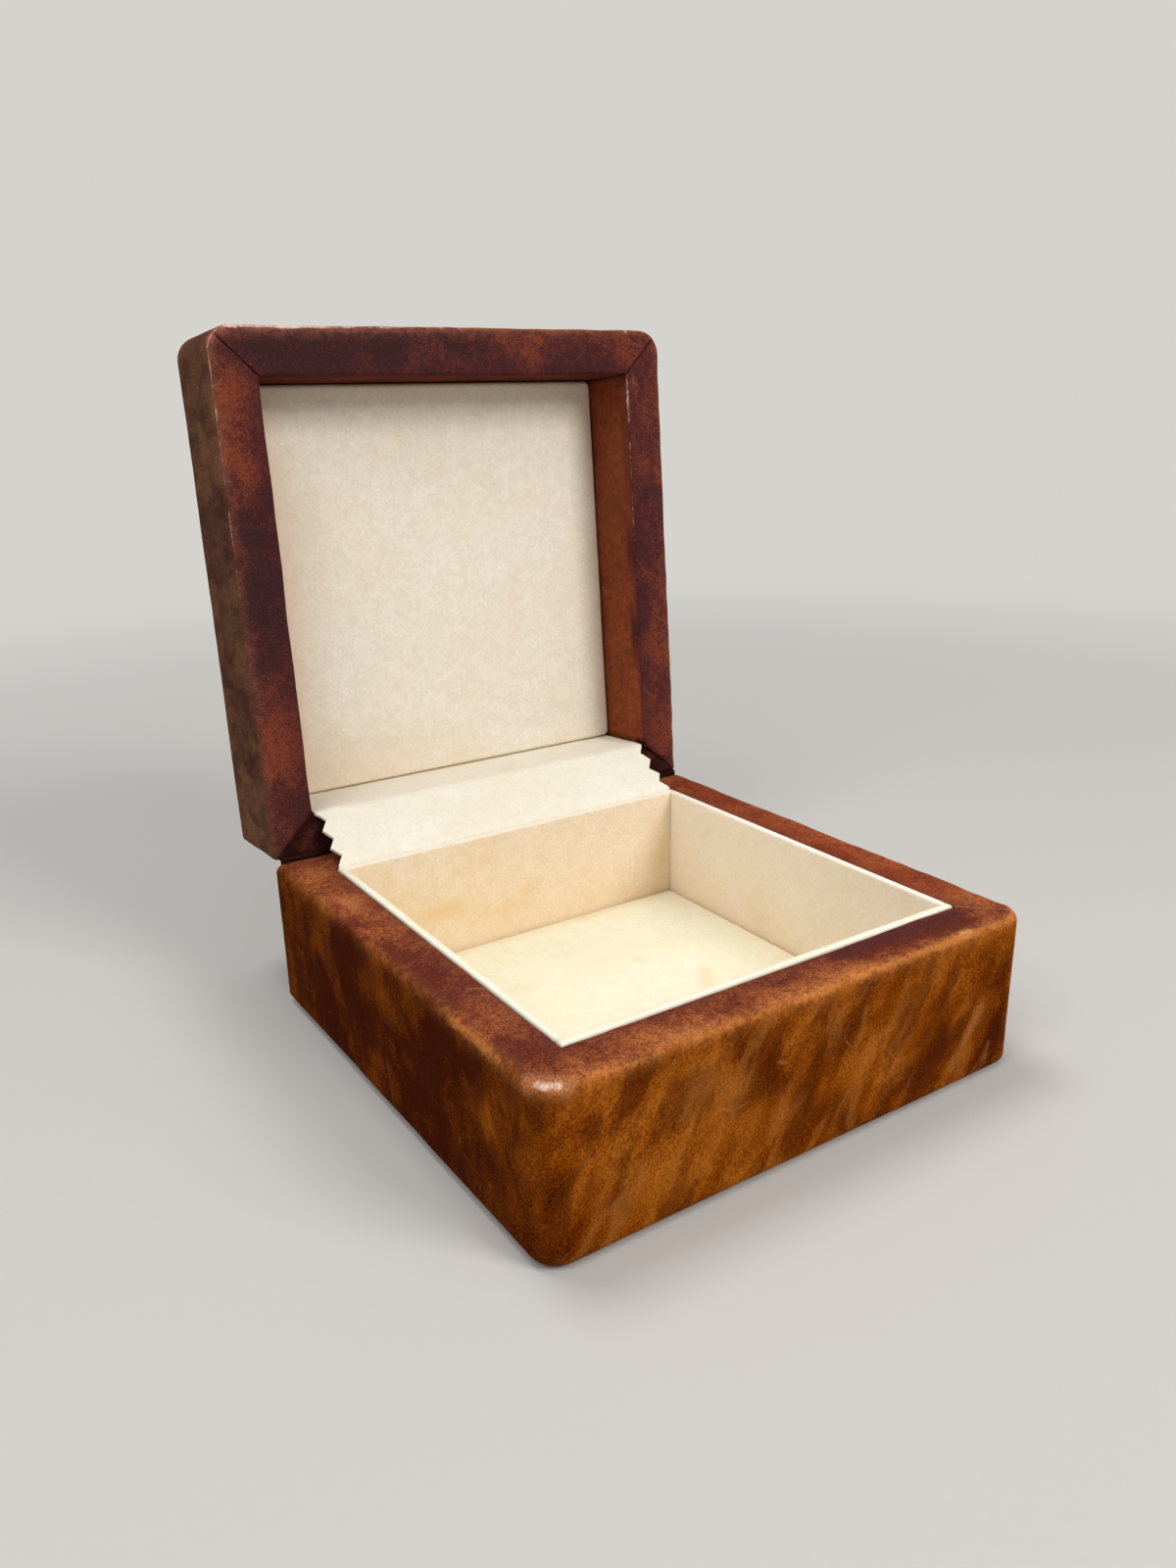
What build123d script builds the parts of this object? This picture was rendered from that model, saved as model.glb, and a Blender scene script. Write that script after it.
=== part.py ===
from build123d import *
import os
from math import cos, radians, sin, sqrt

os.makedirs("parts", exist_ok=True)

# A square wooden box wrapped in leather, with a suede-lined well and a hinged lid, drawn open.
# Millimetres. The origin is the middle of the underside, X runs left to right along the hinge,
# Y from front to rear, and Z up.

# Outside sizes, over the leather
box_width = 127.0
box_depth = 127.0
base_height = 38.0
lid_height = 28.0
closed_gap = 0.6
open_angle = 94.3

# Wood
wall_thickness = 9.5
lid_rear_rail_thickness = 8.5
bottom_board_thickness = 3.6
top_board_thickness = 5.0
board_rebate = 4.0
board_fit = 0.1
wood_corner_radius = 5.0
wood_rim_radius = 1.4
wood_foot_radius = 1.0
lid_wood_rim_radius = 0.6
lid_wood_top_radius = 3.4

# Leather and the underside
leather_thickness = 1.0
leather_inner_edge_radius = 0.5
turn_under_width = 13.0
cover_thickness = 0.8
cover_inset = 3.0
cover_corner_radius = 4.0
levelling_card_fit = 0.2

# Linings of the well and the lid
suede_thickness = 0.8
lining_card_thickness = 1.2
lining_fit = 0.1
lining_proud = 0.2
lining_edge_radius = 0.7
floor_card_thickness = 1.2
floor_padding_thickness = 0.6
floor_crown = 0.5
floor_fit = 0.4
pad_corner_radius = 2.5
pad_edge_radius = 0.6
panel_card_thickness = 1.5
panel_padding_thickness = 1.7
panel_crown = 0.6
panel_fit = 0.3

# Hinge
strip_thickness = 0.8
strip_end_inset = 0.7
strip_tuck_base = 12.0
strip_end_clearance = 0.5
strip_bend_radius = 1.0
strip_hollow = 0.8
strip_glue_gap = 0.05
tooth_pitch = 5.6
tooth_depth = 2.0
fold_room = 1.2
fold_bevel_start = 1.5
hinge_leather_leg = 12.0
hinge_leather_end_inset = 7.0

# Sizes that follow from those above
rim_width = wall_thickness + 2 * leather_thickness
opening_width = box_width - 2 * rim_width
opening_depth = box_depth - 2 * rim_width
corner_radius = wood_corner_radius + leather_thickness
wood_width = box_width - 2 * leather_thickness
wood_depth = box_depth - 2 * leather_thickness
wood_bottom = cover_thickness + leather_thickness
wood_rim = base_height - leather_thickness
floor_level = wood_bottom + bottom_board_thickness
hinge_y = box_depth / 2
hinge_z = base_height + closed_gap / 2

# The lid is drawn on a plane of its own, through the hinge axis: x as the box's X, y towards the
# rear face of the closed lid and z from its rim to its top.
lean = radians(open_angle)
lid_frame = Plane(origin=(0, hinge_y, hinge_z), x_dir=(1, 0, 0), z_dir=(0, sin(lean), cos(lean)))
lid_up = Axis(lid_frame.origin, lid_frame.z_dir)
lid_rim = closed_gap / 2
lid_top = lid_rim + lid_height
lid_wood_rim = lid_rim + leather_thickness
lid_wood_top = lid_top - leather_thickness
lid_ceiling = lid_wood_top - top_board_thickness
lid_middle_y = -box_depth / 2
recess_front_y = -(box_depth - rim_width)
recess_rear_y = -(leather_thickness + lid_rear_rail_thickness)
strip_width = opening_width - 2 * strip_end_inset
suede_board = lining_card_thickness + suede_thickness


def save(piece, name):
    """Label a finished piece and write it under its own name."""
    piece.part.label = name
    export_step(piece.part, f"parts/{name}.step")
    print(name, round(piece.part.volume, 1))


def wall_outline(outer, inner, side):
    """The four plan corners of one mitred wall, between an outer and an inner rectangle.

    Each rectangle is (left, front, right, rear).
    """
    left, front, right, rear = outer
    in_left, in_front, in_right, in_rear = inner
    return {
        "front": [(left, front), (right, front), (in_right, in_front), (in_left, in_front)],
        "right": [(right, front), (right, rear), (in_right, in_rear), (in_right, in_front)],
        "rear": [(right, rear), (left, rear), (in_left, in_rear), (in_right, in_rear)],
        "left": [(left, rear), (left, front), (in_left, in_front), (in_left, in_rear)],
    }[side]


def rounded_block(plane, width, depth, corner, bottom_radius, top_radius, height):
    """A block with rounded upright corners and rounded bottom and top edges."""
    up = Axis(plane.origin, plane.z_dir)
    with BuildPart() as block:
        with BuildSketch(plane):
            RectangleRounded(width, depth, corner)
        extrude(amount=height)
        fillet(block.faces().sort_by(up)[0].edges(), min(bottom_radius, 0.8 * corner))
        fillet(block.faces().sort_by(up)[-1].edges(), min(top_radius, 0.8 * corner))
    return block.part


def crowned_pad(plane, width, depth, height, crown, corner, edge_radius=0):
    """A pad with rounded corners whose top rises by crown from its corners to its middle.

    Where an edge_radius is given, the top edge is rounded off up to the crown's height.
    """
    up = Axis(plane.origin, plane.z_dir)
    side_view = Plane(origin=plane.origin, x_dir=plane.x_dir, z_dir=-plane.y_dir)
    reach = sqrt(width**2 + depth**2) / 2
    with BuildPart() as pad:
        with BuildSketch(plane):
            RectangleRounded(width, depth, corner)
        extrude(amount=height + crown)
        if edge_radius:
            fillet(pad.faces().sort_by(up)[-1].edges(), min(edge_radius + crown, 0.8 * corner))
        with BuildSketch(side_view):
            with BuildLine():
                Polyline((0, height + crown), (0, 0), (reach, 0), (reach, height))
                TangentArc((0, height + crown), (reach, height), tangent=(1, 0))
            make_face()
        revolve(axis=up, mode=Mode.INTERSECT)
    return pad.part


# Base: mitred walls round a bottom board that lies in their rebate
outer_rectangle = (-wood_width / 2, -wood_depth / 2, wood_width / 2, wood_depth / 2)
wood_opening_width = wood_width - 2 * wall_thickness
wood_opening_depth = wood_depth - 2 * wall_thickness
inner_rectangle = (
    -wood_opening_width / 2,
    -wood_opening_depth / 2,
    wood_opening_width / 2,
    wood_opening_depth / 2,
)
base_wood_block = rounded_block(
    Plane.XY.offset(wood_bottom),
    wood_width,
    wood_depth,
    wood_corner_radius,
    wood_foot_radius,
    wood_rim_radius,
    wood_rim - wood_bottom,
)

for side in ("front", "rear", "left", "right"):
    with BuildPart() as base_wall:
        add(base_wood_block)
        with BuildSketch(Plane.XY.offset(wood_bottom)):
            Polygon(*wall_outline(outer_rectangle, inner_rectangle, side), align=None)
        extrude(amount=wood_rim - wood_bottom, mode=Mode.INTERSECT)
        with BuildSketch(Plane.XY.offset(wood_bottom)):
            Rectangle(wood_opening_width + 2 * board_rebate, wood_opening_depth + 2 * board_rebate)
        extrude(amount=bottom_board_thickness, mode=Mode.SUBTRACT)
    save(base_wall, f"base_{side}_wall")

with BuildPart() as base_bottom_board:
    with BuildSketch(Plane.XY.offset(wood_bottom)):
        Rectangle(
            wood_opening_width + 2 * (board_rebate - board_fit),
            wood_opening_depth + 2 * (board_rebate - board_fit),
        )
    extrude(amount=bottom_board_thickness)
save(base_bottom_board, "base_bottom_board")

# Base leather: round the outside and the rim, down the inside of the walls and under the foot
base_outside = rounded_block(
    Plane.XY.offset(cover_thickness),
    box_width,
    box_depth,
    corner_radius,
    wood_foot_radius + leather_thickness,
    wood_rim_radius + leather_thickness,
    base_height - cover_thickness,
)
window_width = box_width - 2 * turn_under_width
window_depth = box_depth - 2 * turn_under_width

with BuildPart() as base_leather:
    add(base_outside)
    add(base_wood_block, mode=Mode.SUBTRACT)
    with BuildSketch(Plane.XY.offset(floor_level)):
        Rectangle(wood_opening_width, wood_opening_depth)
    extrude(amount=base_height - floor_level)
    with BuildSketch(Plane.XY.offset(floor_level)):
        Rectangle(opening_width, opening_depth)
    extrude(amount=base_height - floor_level, mode=Mode.SUBTRACT)
    with BuildSketch(Plane.XY.offset(cover_thickness)):
        Rectangle(window_width, window_depth)
    extrude(amount=leather_thickness, mode=Mode.SUBTRACT)
    base_rim_face = base_leather.faces().sort_by(Axis.Z)[-1]
    fillet(base_rim_face.inner_wires()[0].edges(), leather_inner_edge_radius)
    with BuildSketch(Plane.XY.offset(base_height - hinge_leather_leg)):
        with Locations((0, hinge_y - leather_thickness / 2)):
            Rectangle(box_width - 2 * hinge_leather_end_inset, leather_thickness)
    extrude(amount=hinge_leather_leg, mode=Mode.SUBTRACT)
save(base_leather, "base_leather")

with BuildPart() as base_levelling_card:
    with BuildSketch(Plane.XY.offset(cover_thickness)):
        Rectangle(window_width - 2 * levelling_card_fit, window_depth - 2 * levelling_card_fit)
    extrude(amount=leather_thickness)
save(base_levelling_card, "base_levelling_card")

with BuildPart() as base_underside_cover:
    with BuildSketch():
        RectangleRounded(box_width - 2 * cover_inset, box_depth - 2 * cover_inset, cover_corner_radius)
    extrude(amount=cover_thickness)
save(base_underside_cover, "base_underside_cover")

# Well linings: suede over card, with a rounded top edge. The rear one stands in front of the
# hinge strip, and the side ones butt against the front and rear ones.
well_front_y = -opening_depth / 2 + lining_fit
well_rear_y = opening_depth / 2 - strip_thickness - strip_glue_gap - lining_fit
lining_top = base_height + lining_proud
side_length = well_rear_y - well_front_y - 2 * suede_board - 2 * lining_fit
side_middle_y = (well_front_y + well_rear_y) / 2
well_linings = {
    "front": (0, well_front_y, (1, 0, 0), opening_width - 2 * lining_fit),
    "right": (opening_width / 2 - lining_fit, side_middle_y, (0, 1, 0), side_length),
    "rear": (0, well_rear_y, (-1, 0, 0), opening_width - 2 * lining_fit),
    "left": (-opening_width / 2 + lining_fit, side_middle_y, (0, -1, 0), side_length),
}

for side, (back_x, back_y, along, length) in well_linings.items():
    # The board's own plane: x along the wall, y from its back into the well
    board_plane = Plane(origin=(back_x, back_y, floor_level), x_dir=along, z_dir=(0, 0, 1))
    section = Plane(origin=board_plane.origin, x_dir=board_plane.y_dir, z_dir=board_plane.x_dir)
    with BuildPart() as lining_card:
        with BuildSketch(section):
            Rectangle(
                lining_card_thickness,
                lining_top - suede_thickness - floor_level,
                align=(Align.MIN, Align.MIN),
            )
        extrude(amount=length / 2, both=True)
    save(lining_card, f"well_{side}_card")
    with BuildPart() as lining_suede:
        with BuildSketch(section):
            Rectangle(suede_board, lining_top - floor_level, align=(Align.MIN, Align.MIN))
        extrude(amount=length / 2, both=True)
        top_face = lining_suede.faces().sort_by(Axis.Z)[-1]
        fillet(top_face.edges().filter_by(Axis(board_plane.origin, board_plane.x_dir)), lining_edge_radius)
        add(lining_card.part, mode=Mode.SUBTRACT)
    save(lining_suede, f"well_{side}_suede")

# Well floor: suede over a thin pad and a card, laid between the linings
floor_width = opening_width - 2 * (lining_fit + suede_board + floor_fit)
floor_depth = well_rear_y - well_front_y - 2 * (suede_board + floor_fit)
floor_plane = Plane(origin=(0, side_middle_y, floor_level), x_dir=(1, 0, 0), z_dir=(0, 0, 1))
floor_height = floor_card_thickness + floor_padding_thickness + suede_thickness

with BuildPart() as well_floor_card:
    with BuildSketch(floor_plane):
        RectangleRounded(
            floor_width - 2 * suede_thickness,
            floor_depth - 2 * suede_thickness,
            pad_corner_radius - suede_thickness,
        )
    extrude(amount=floor_card_thickness)
save(well_floor_card, "well_floor_card")

with BuildPart() as well_floor_padding:
    add(
        crowned_pad(
            floor_plane.offset(floor_card_thickness),
            floor_width - 2 * suede_thickness,
            floor_depth - 2 * suede_thickness,
            floor_padding_thickness,
            floor_crown,
            pad_corner_radius - suede_thickness,
        )
    )
save(well_floor_padding, "well_floor_padding")

with BuildPart() as well_floor_suede:
    add(
        crowned_pad(
            floor_plane,
            floor_width,
            floor_depth,
            floor_height,
            floor_crown,
            pad_corner_radius,
            pad_edge_radius,
        )
    )
    add(well_floor_padding.part, mode=Mode.SUBTRACT)
    add(well_floor_card.part, mode=Mode.SUBTRACT)
save(well_floor_suede, "well_floor_suede")


# Lid
def fold_bevel(drop, spread):
    """The wedge taken off the rim of the lid's rear rail, which leaves room for the folded strip.

    It deepens from nothing near the hinge to fold_room at the recess, starts drop above the
    rim, and runs between the mitres, spread further at each end.
    """
    side_view = Plane(origin=lid_frame.origin, x_dir=lid_frame.y_dir, z_dir=lid_frame.x_dir)
    slope = fold_room / (-recess_rear_y - fold_bevel_start)
    reach = 1.0
    start_z = lid_rim + drop
    with BuildPart() as wedge:
        with BuildSketch(side_view):
            Polygon(
                (-fold_bevel_start, start_z),
                (-fold_bevel_start, start_z - 2 * lid_rim),
                (recess_rear_y - reach, start_z - 2 * lid_rim),
                (recess_rear_y - reach, start_z + fold_room + slope * reach),
                align=None,
            )
        extrude(amount=box_width / 2, both=True)
        with BuildSketch(lid_frame.offset(-lid_rim)):
            inner_x = opening_width / 2 + leather_thickness
            outer_x = box_width / 2
            run = (outer_x - inner_x) / -recess_rear_y
            Polygon(
                (outer_x + spread, 0),
                (-outer_x - spread, 0),
                (-inner_x - spread + run * reach, recess_rear_y - reach),
                (inner_x + spread - run * reach, recess_rear_y - reach),
                align=None,
            )
        extrude(amount=lid_height, mode=Mode.INTERSECT)
    return wedge.part


lid_wood_block = rounded_block(
    Plane(
        origin=lid_frame.from_local_coords((0, lid_middle_y, lid_wood_rim)),
        x_dir=lid_frame.x_dir,
        z_dir=lid_frame.z_dir,
    ),
    wood_width,
    wood_depth,
    wood_corner_radius,
    lid_wood_rim_radius,
    lid_wood_top_radius,
    lid_wood_top - lid_wood_rim,
)
lid_outer_rectangle = (-wood_width / 2, -box_depth + leather_thickness, wood_width / 2, -leather_thickness)
lid_inner_rectangle = (
    -wood_opening_width / 2,
    recess_front_y - leather_thickness,
    wood_opening_width / 2,
    recess_rear_y,
)
rebate_depth = recess_rear_y - (recess_front_y - leather_thickness) + 2 * board_rebate
rebate_middle_y = (recess_rear_y + recess_front_y - leather_thickness) / 2

for side in ("front", "rear", "left", "right"):
    with BuildPart() as lid_rail:
        add(lid_wood_block)
        with BuildSketch(lid_frame.offset(lid_wood_rim)):
            Polygon(*wall_outline(lid_outer_rectangle, lid_inner_rectangle, side), align=None)
        extrude(amount=lid_wood_top - lid_wood_rim, mode=Mode.INTERSECT)
        with BuildSketch(lid_frame.offset(lid_ceiling)):
            with Locations((0, rebate_middle_y)):
                Rectangle(wood_opening_width + 2 * board_rebate, rebate_depth)
        extrude(amount=top_board_thickness, mode=Mode.SUBTRACT)
        if side != "front":
            add(fold_bevel(leather_thickness, leather_thickness), mode=Mode.SUBTRACT)
    save(lid_rail, f"lid_{side}_rail")

with BuildPart() as lid_top_board:
    with BuildSketch(lid_frame.offset(lid_ceiling)):
        with Locations((0, rebate_middle_y)):
            Rectangle(
                wood_opening_width + 2 * (board_rebate - board_fit),
                rebate_depth - 2 * board_fit,
            )
    extrude(amount=top_board_thickness)
save(lid_top_board, "lid_top_board")

# Lid leather: over the top, the sides and the rim, and into the recess on all sides but the rear
lid_outside = rounded_block(
    Plane(
        origin=lid_frame.from_local_coords((0, lid_middle_y, lid_rim)),
        x_dir=lid_frame.x_dir,
        z_dir=lid_frame.z_dir,
    ),
    box_width,
    box_depth,
    corner_radius,
    lid_wood_rim_radius + leather_thickness,
    lid_wood_top_radius + leather_thickness,
    lid_height,
)
recess_depth = recess_rear_y - recess_front_y
recess_middle_y = (recess_rear_y + recess_front_y) / 2

with BuildPart() as lid_leather:
    add(lid_outside)
    add(lid_wood_block - fold_bevel(leather_thickness, leather_thickness), mode=Mode.SUBTRACT)
    with BuildSketch(lid_frame.offset(lid_rim)):
        with Locations((0, recess_middle_y - leather_thickness / 2)):
            Rectangle(wood_opening_width, recess_depth + leather_thickness)
    extrude(amount=lid_ceiling - lid_rim)
    with BuildSketch(lid_frame.offset(lid_rim)):
        with Locations((0, recess_middle_y)):
            Rectangle(opening_width, recess_depth)
    extrude(amount=lid_ceiling - lid_rim, mode=Mode.SUBTRACT)
    lid_rim_face = lid_leather.faces().sort_by(lid_up)[0]
    front_and_sides = lid_rim_face.inner_wires()[0].edges().sort_by(Axis.Z)[1:]
    fillet(front_and_sides, leather_inner_edge_radius)
    add(fold_bevel(0, 0), mode=Mode.SUBTRACT)
    with BuildSketch(lid_frame.offset(lid_rim)):
        with Locations((0, -leather_thickness / 2)):
            Rectangle(box_width - 2 * hinge_leather_end_inset, leather_thickness)
    extrude(amount=hinge_leather_leg, mode=Mode.SUBTRACT)
save(lid_leather, "lid_leather")

# Lid panel: suede over a pad and a card, with its lower edge over the hinge strip
panel_rear_y = recess_rear_y - strip_thickness - strip_glue_gap - panel_fit
panel_front_y = recess_front_y + panel_fit
panel_width = opening_width - 2 * panel_fit
panel_depth = panel_rear_y - panel_front_y
panel_height = panel_card_thickness + panel_padding_thickness + suede_thickness
# The panel's plane lies on the underside of the top board and faces out of the recess
panel_plane = Plane(
    origin=lid_frame.from_local_coords((0, (panel_rear_y + panel_front_y) / 2, lid_ceiling)),
    x_dir=lid_frame.x_dir,
    z_dir=-lid_frame.z_dir,
)

with BuildPart() as lid_panel_card:
    with BuildSketch(panel_plane):
        RectangleRounded(
            panel_width - 2 * suede_thickness,
            panel_depth - 2 * suede_thickness,
            pad_corner_radius - suede_thickness,
        )
    extrude(amount=panel_card_thickness)
save(lid_panel_card, "lid_panel_card")

with BuildPart() as lid_panel_padding:
    add(
        crowned_pad(
            panel_plane.offset(panel_card_thickness),
            panel_width - 2 * suede_thickness,
            panel_depth - 2 * suede_thickness,
            panel_padding_thickness,
            panel_crown,
            pad_corner_radius - suede_thickness,
        )
    )
save(lid_panel_padding, "lid_panel_padding")

with BuildPart() as lid_panel_suede:
    add(
        crowned_pad(
            panel_plane,
            panel_width,
            panel_depth,
            panel_height,
            panel_crown,
            pad_corner_radius,
            pad_edge_radius,
        )
    )
    add(lid_panel_padding.part, mode=Mode.SUBTRACT)
    add(lid_panel_card.part, mode=Mode.SUBTRACT)
save(lid_panel_suede, "lid_panel_suede")

# Hinge strip: up behind the well's rear lining, across to the lid and into its recess
half_strip = strip_thickness / 2
base_line_y = opening_depth / 2 - strip_glue_gap - half_strip
lid_line_y = recess_rear_y - strip_glue_gap - half_strip
lid_turn_z = lid_rim + fold_room - strip_bend_radius / 2
span_start = (base_line_y, base_height + strip_bend_radius / 2)
lid_turn = lid_frame.from_local_coords((0, lid_line_y, lid_turn_z))
lid_end = lid_frame.from_local_coords((0, lid_line_y, lid_ceiling - half_strip - strip_end_clearance))
span_end = (lid_turn.Y, lid_turn.Z)
span = Vector(span_end[0] - span_start[0], span_end[1] - span_start[1])
span_middle = (
    (span_start[0] + span_end[0]) / 2 + strip_hollow * span.Y / span.length,
    (span_start[1] + span_end[1]) / 2 - strip_hollow * span.X / span.length,
)

with BuildPart() as hinge_suede_strip:
    with BuildSketch(Plane.YZ):
        with BuildLine():
            FilletPolyline(
                (base_line_y, base_height - strip_tuck_base),
                span_start,
                span_middle,
                span_end,
                (lid_end.Y, lid_end.Z),
                radius=[strip_bend_radius, span.length, strip_bend_radius],
            )
            offset(amount=half_strip, side=Side.BOTH)
        make_face()
    extrude(amount=strip_width / 2, both=True)
    # Pinked ends along the free span: a row of notches, symmetric about its middle
    tooth_count = int(span.length / tooth_pitch) + 1
    span_plane = Plane(
        origin=(0, (span_start[0] + span_end[0]) / 2, (span_start[1] + span_end[1]) / 2),
        x_dir=(1, 0, 0),
        z_dir=(0, -span.Y, span.X),
    )
    with BuildSketch(span_plane):
        with GridLocations(0, tooth_pitch, 1, tooth_count):
            for end in (-1, 1):
                tip_x = end * strip_width / 2
                Polygon(
                    (tip_x, -tooth_pitch / 2),
                    (tip_x - end * tooth_depth, 0),
                    (tip_x, tooth_pitch / 2),
                    align=None,
                )
    extrude(amount=strip_bend_radius + strip_hollow + strip_thickness, both=True, mode=Mode.SUBTRACT)
save(hinge_suede_strip, "hinge_suede_strip")

# Outer hinge leather: let into the rear of base and lid, bent about the line of its outer face
hinge_leather_width = box_width - 2 * hinge_leather_end_inset
with BuildPart() as hinge_leather:
    with BuildSketch(Plane.YZ):
        with BuildLine():
            leg = hinge_leather_leg
            leg_top = lid_frame.from_local_coords((0, 0, lid_rim + leg))
            leg_inside = lid_frame.from_local_coords((0, -leather_thickness, lid_rim + leg))
            bend_inside = lid_frame.from_local_coords((0, -leather_thickness, 0))
            Polyline(
                (hinge_y - leather_thickness, hinge_z),
                (hinge_y - leather_thickness, base_height - leg),
                (hinge_y, base_height - leg),
                (hinge_y, hinge_z),
                (leg_top.Y, leg_top.Z),
                (leg_inside.Y, leg_inside.Z),
                (bend_inside.Y, bend_inside.Z),
            )
            RadiusArc(
                (hinge_y - leather_thickness, hinge_z),
                (bend_inside.Y, bend_inside.Z),
                leather_thickness,
            )
        make_face()
    extrude(amount=hinge_leather_width / 2, both=True)
save(hinge_leather, "hinge_leather")
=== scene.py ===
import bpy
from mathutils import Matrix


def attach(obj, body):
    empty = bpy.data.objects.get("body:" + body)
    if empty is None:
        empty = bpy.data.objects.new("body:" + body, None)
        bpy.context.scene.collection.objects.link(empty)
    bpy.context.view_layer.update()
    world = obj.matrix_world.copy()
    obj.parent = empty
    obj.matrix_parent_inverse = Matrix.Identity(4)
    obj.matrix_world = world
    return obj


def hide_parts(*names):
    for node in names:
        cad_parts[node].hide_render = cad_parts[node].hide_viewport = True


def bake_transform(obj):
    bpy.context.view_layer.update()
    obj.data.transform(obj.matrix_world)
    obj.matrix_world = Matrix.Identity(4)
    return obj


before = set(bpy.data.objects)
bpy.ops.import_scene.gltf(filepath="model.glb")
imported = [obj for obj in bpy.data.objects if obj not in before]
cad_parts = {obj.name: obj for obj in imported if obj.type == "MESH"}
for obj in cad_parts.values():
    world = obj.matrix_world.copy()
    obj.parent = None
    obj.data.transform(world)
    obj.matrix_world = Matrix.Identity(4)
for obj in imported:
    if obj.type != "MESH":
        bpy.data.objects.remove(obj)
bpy.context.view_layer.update()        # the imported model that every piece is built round

# A square wooden box wrapped in mottled leather, with a suede-lined well and a hinged lid.
# Sizes are in millimetres until a mesh is made, which is in metres.

import logging
import math
from abc import ABC, abstractmethod
from dataclasses import dataclass
from enum import Enum
from typing import Callable, Iterable, Sequence

import bmesh
import bpy
import numpy as np
from mathutils import Matrix, Vector
from mathutils.bvhtree import BVHTree

log = logging.getLogger("trinket_box")
MM = 0.001
Colour = tuple[float, float, float, float]


class Body(Enum):
    """The two bodies that the hinge joins."""

    BASE = "base"
    LID = "lid"


class Slot(Enum):
    """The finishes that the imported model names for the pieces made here."""

    MOTTLED_LEATHER = "mottled_leather"
    HINGE_LEATHER = "hinge_leather"
    LINING_SUEDE = "lining_suede"
    STRIP_SUEDE = "strip_suede"
    COVER = "underside_cover"


class Side(Enum):
    """The sides of a rounded rectangle, in the order in which its points run."""

    LOW = 0
    RIGHT = 1
    HIGH = 2
    LEFT = 3


class Bend(Enum):
    """How a run of rings gets from one ring to the next."""

    STRAIGHT = "straight"
    LEVEL_FIRST = "level first"
    STEEP_FIRST = "steep first"


def srgb(red: int, green: int, blue: int) -> Colour:
    """Turn an 8-bit display colour into a linear one.

    Args:
        red: The red value, 0 to 255.
        green: The green value, 0 to 255.
        blue: The blue value, 0 to 255.

    Returns:
        The linear colour, with full alpha.
    """
    linear = []
    for value in (red, green, blue):
        share = value / 255
        linear.append(share / 12.92 if share <= 0.04045 else ((share + 0.055) / 1.055) ** 2.4)
    return (linear[0], linear[1], linear[2], 1.0)


def stops(*rows: tuple[float, int, int, int]) -> tuple[tuple[float, Colour], ...]:
    """Turn rows of a place and an 8-bit colour into the stops of a ramp."""
    return tuple((place, srgb(*colour)) for place, *colour in rows)


def ease(value: np.ndarray, low: float, high: float) -> np.ndarray:
    """Rise smoothly from 0 at low to 1 at high.

    Args:
        value: The values to shape.
        low: The value that gives 0.
        high: The value that gives 1.

    Returns:
        The shaped values.
    """
    share = np.clip((value - low) / (high - low), 0, 1)
    return share * share * (3 - 2 * share)


def bell(value: np.ndarray, middle: float, width: float) -> np.ndarray:
    """Fade smoothly from 1 at the middle to nearly 0 at twice the width from it."""
    return np.exp(-(((value - middle) / width) ** 2))


def ripple(points: np.ndarray, size: float, seed: int) -> np.ndarray:
    """A smooth, repeatable unevenness, mostly between -1 and 1.

    Args:
        points: The places to read it at.
        size: The usual distance from bump to bump.
        seed: Which unevenness to give.

    Returns:
        One value for each point.
    """
    draw = np.random.default_rng(seed)
    waves = 7
    total = np.zeros(len(points))
    for _ in range(waves):
        way = draw.normal(size=3)
        way *= 2 * math.pi / size * draw.uniform(0.6, 1.5) / np.linalg.norm(way)
        total += np.sin(points @ way + draw.uniform(0, 2 * math.pi))
    return total / math.sqrt(2 * waves)


# Nodes


MEASURES = ("DOT_PRODUCT", "DISTANCE", "LENGTH")


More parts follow.
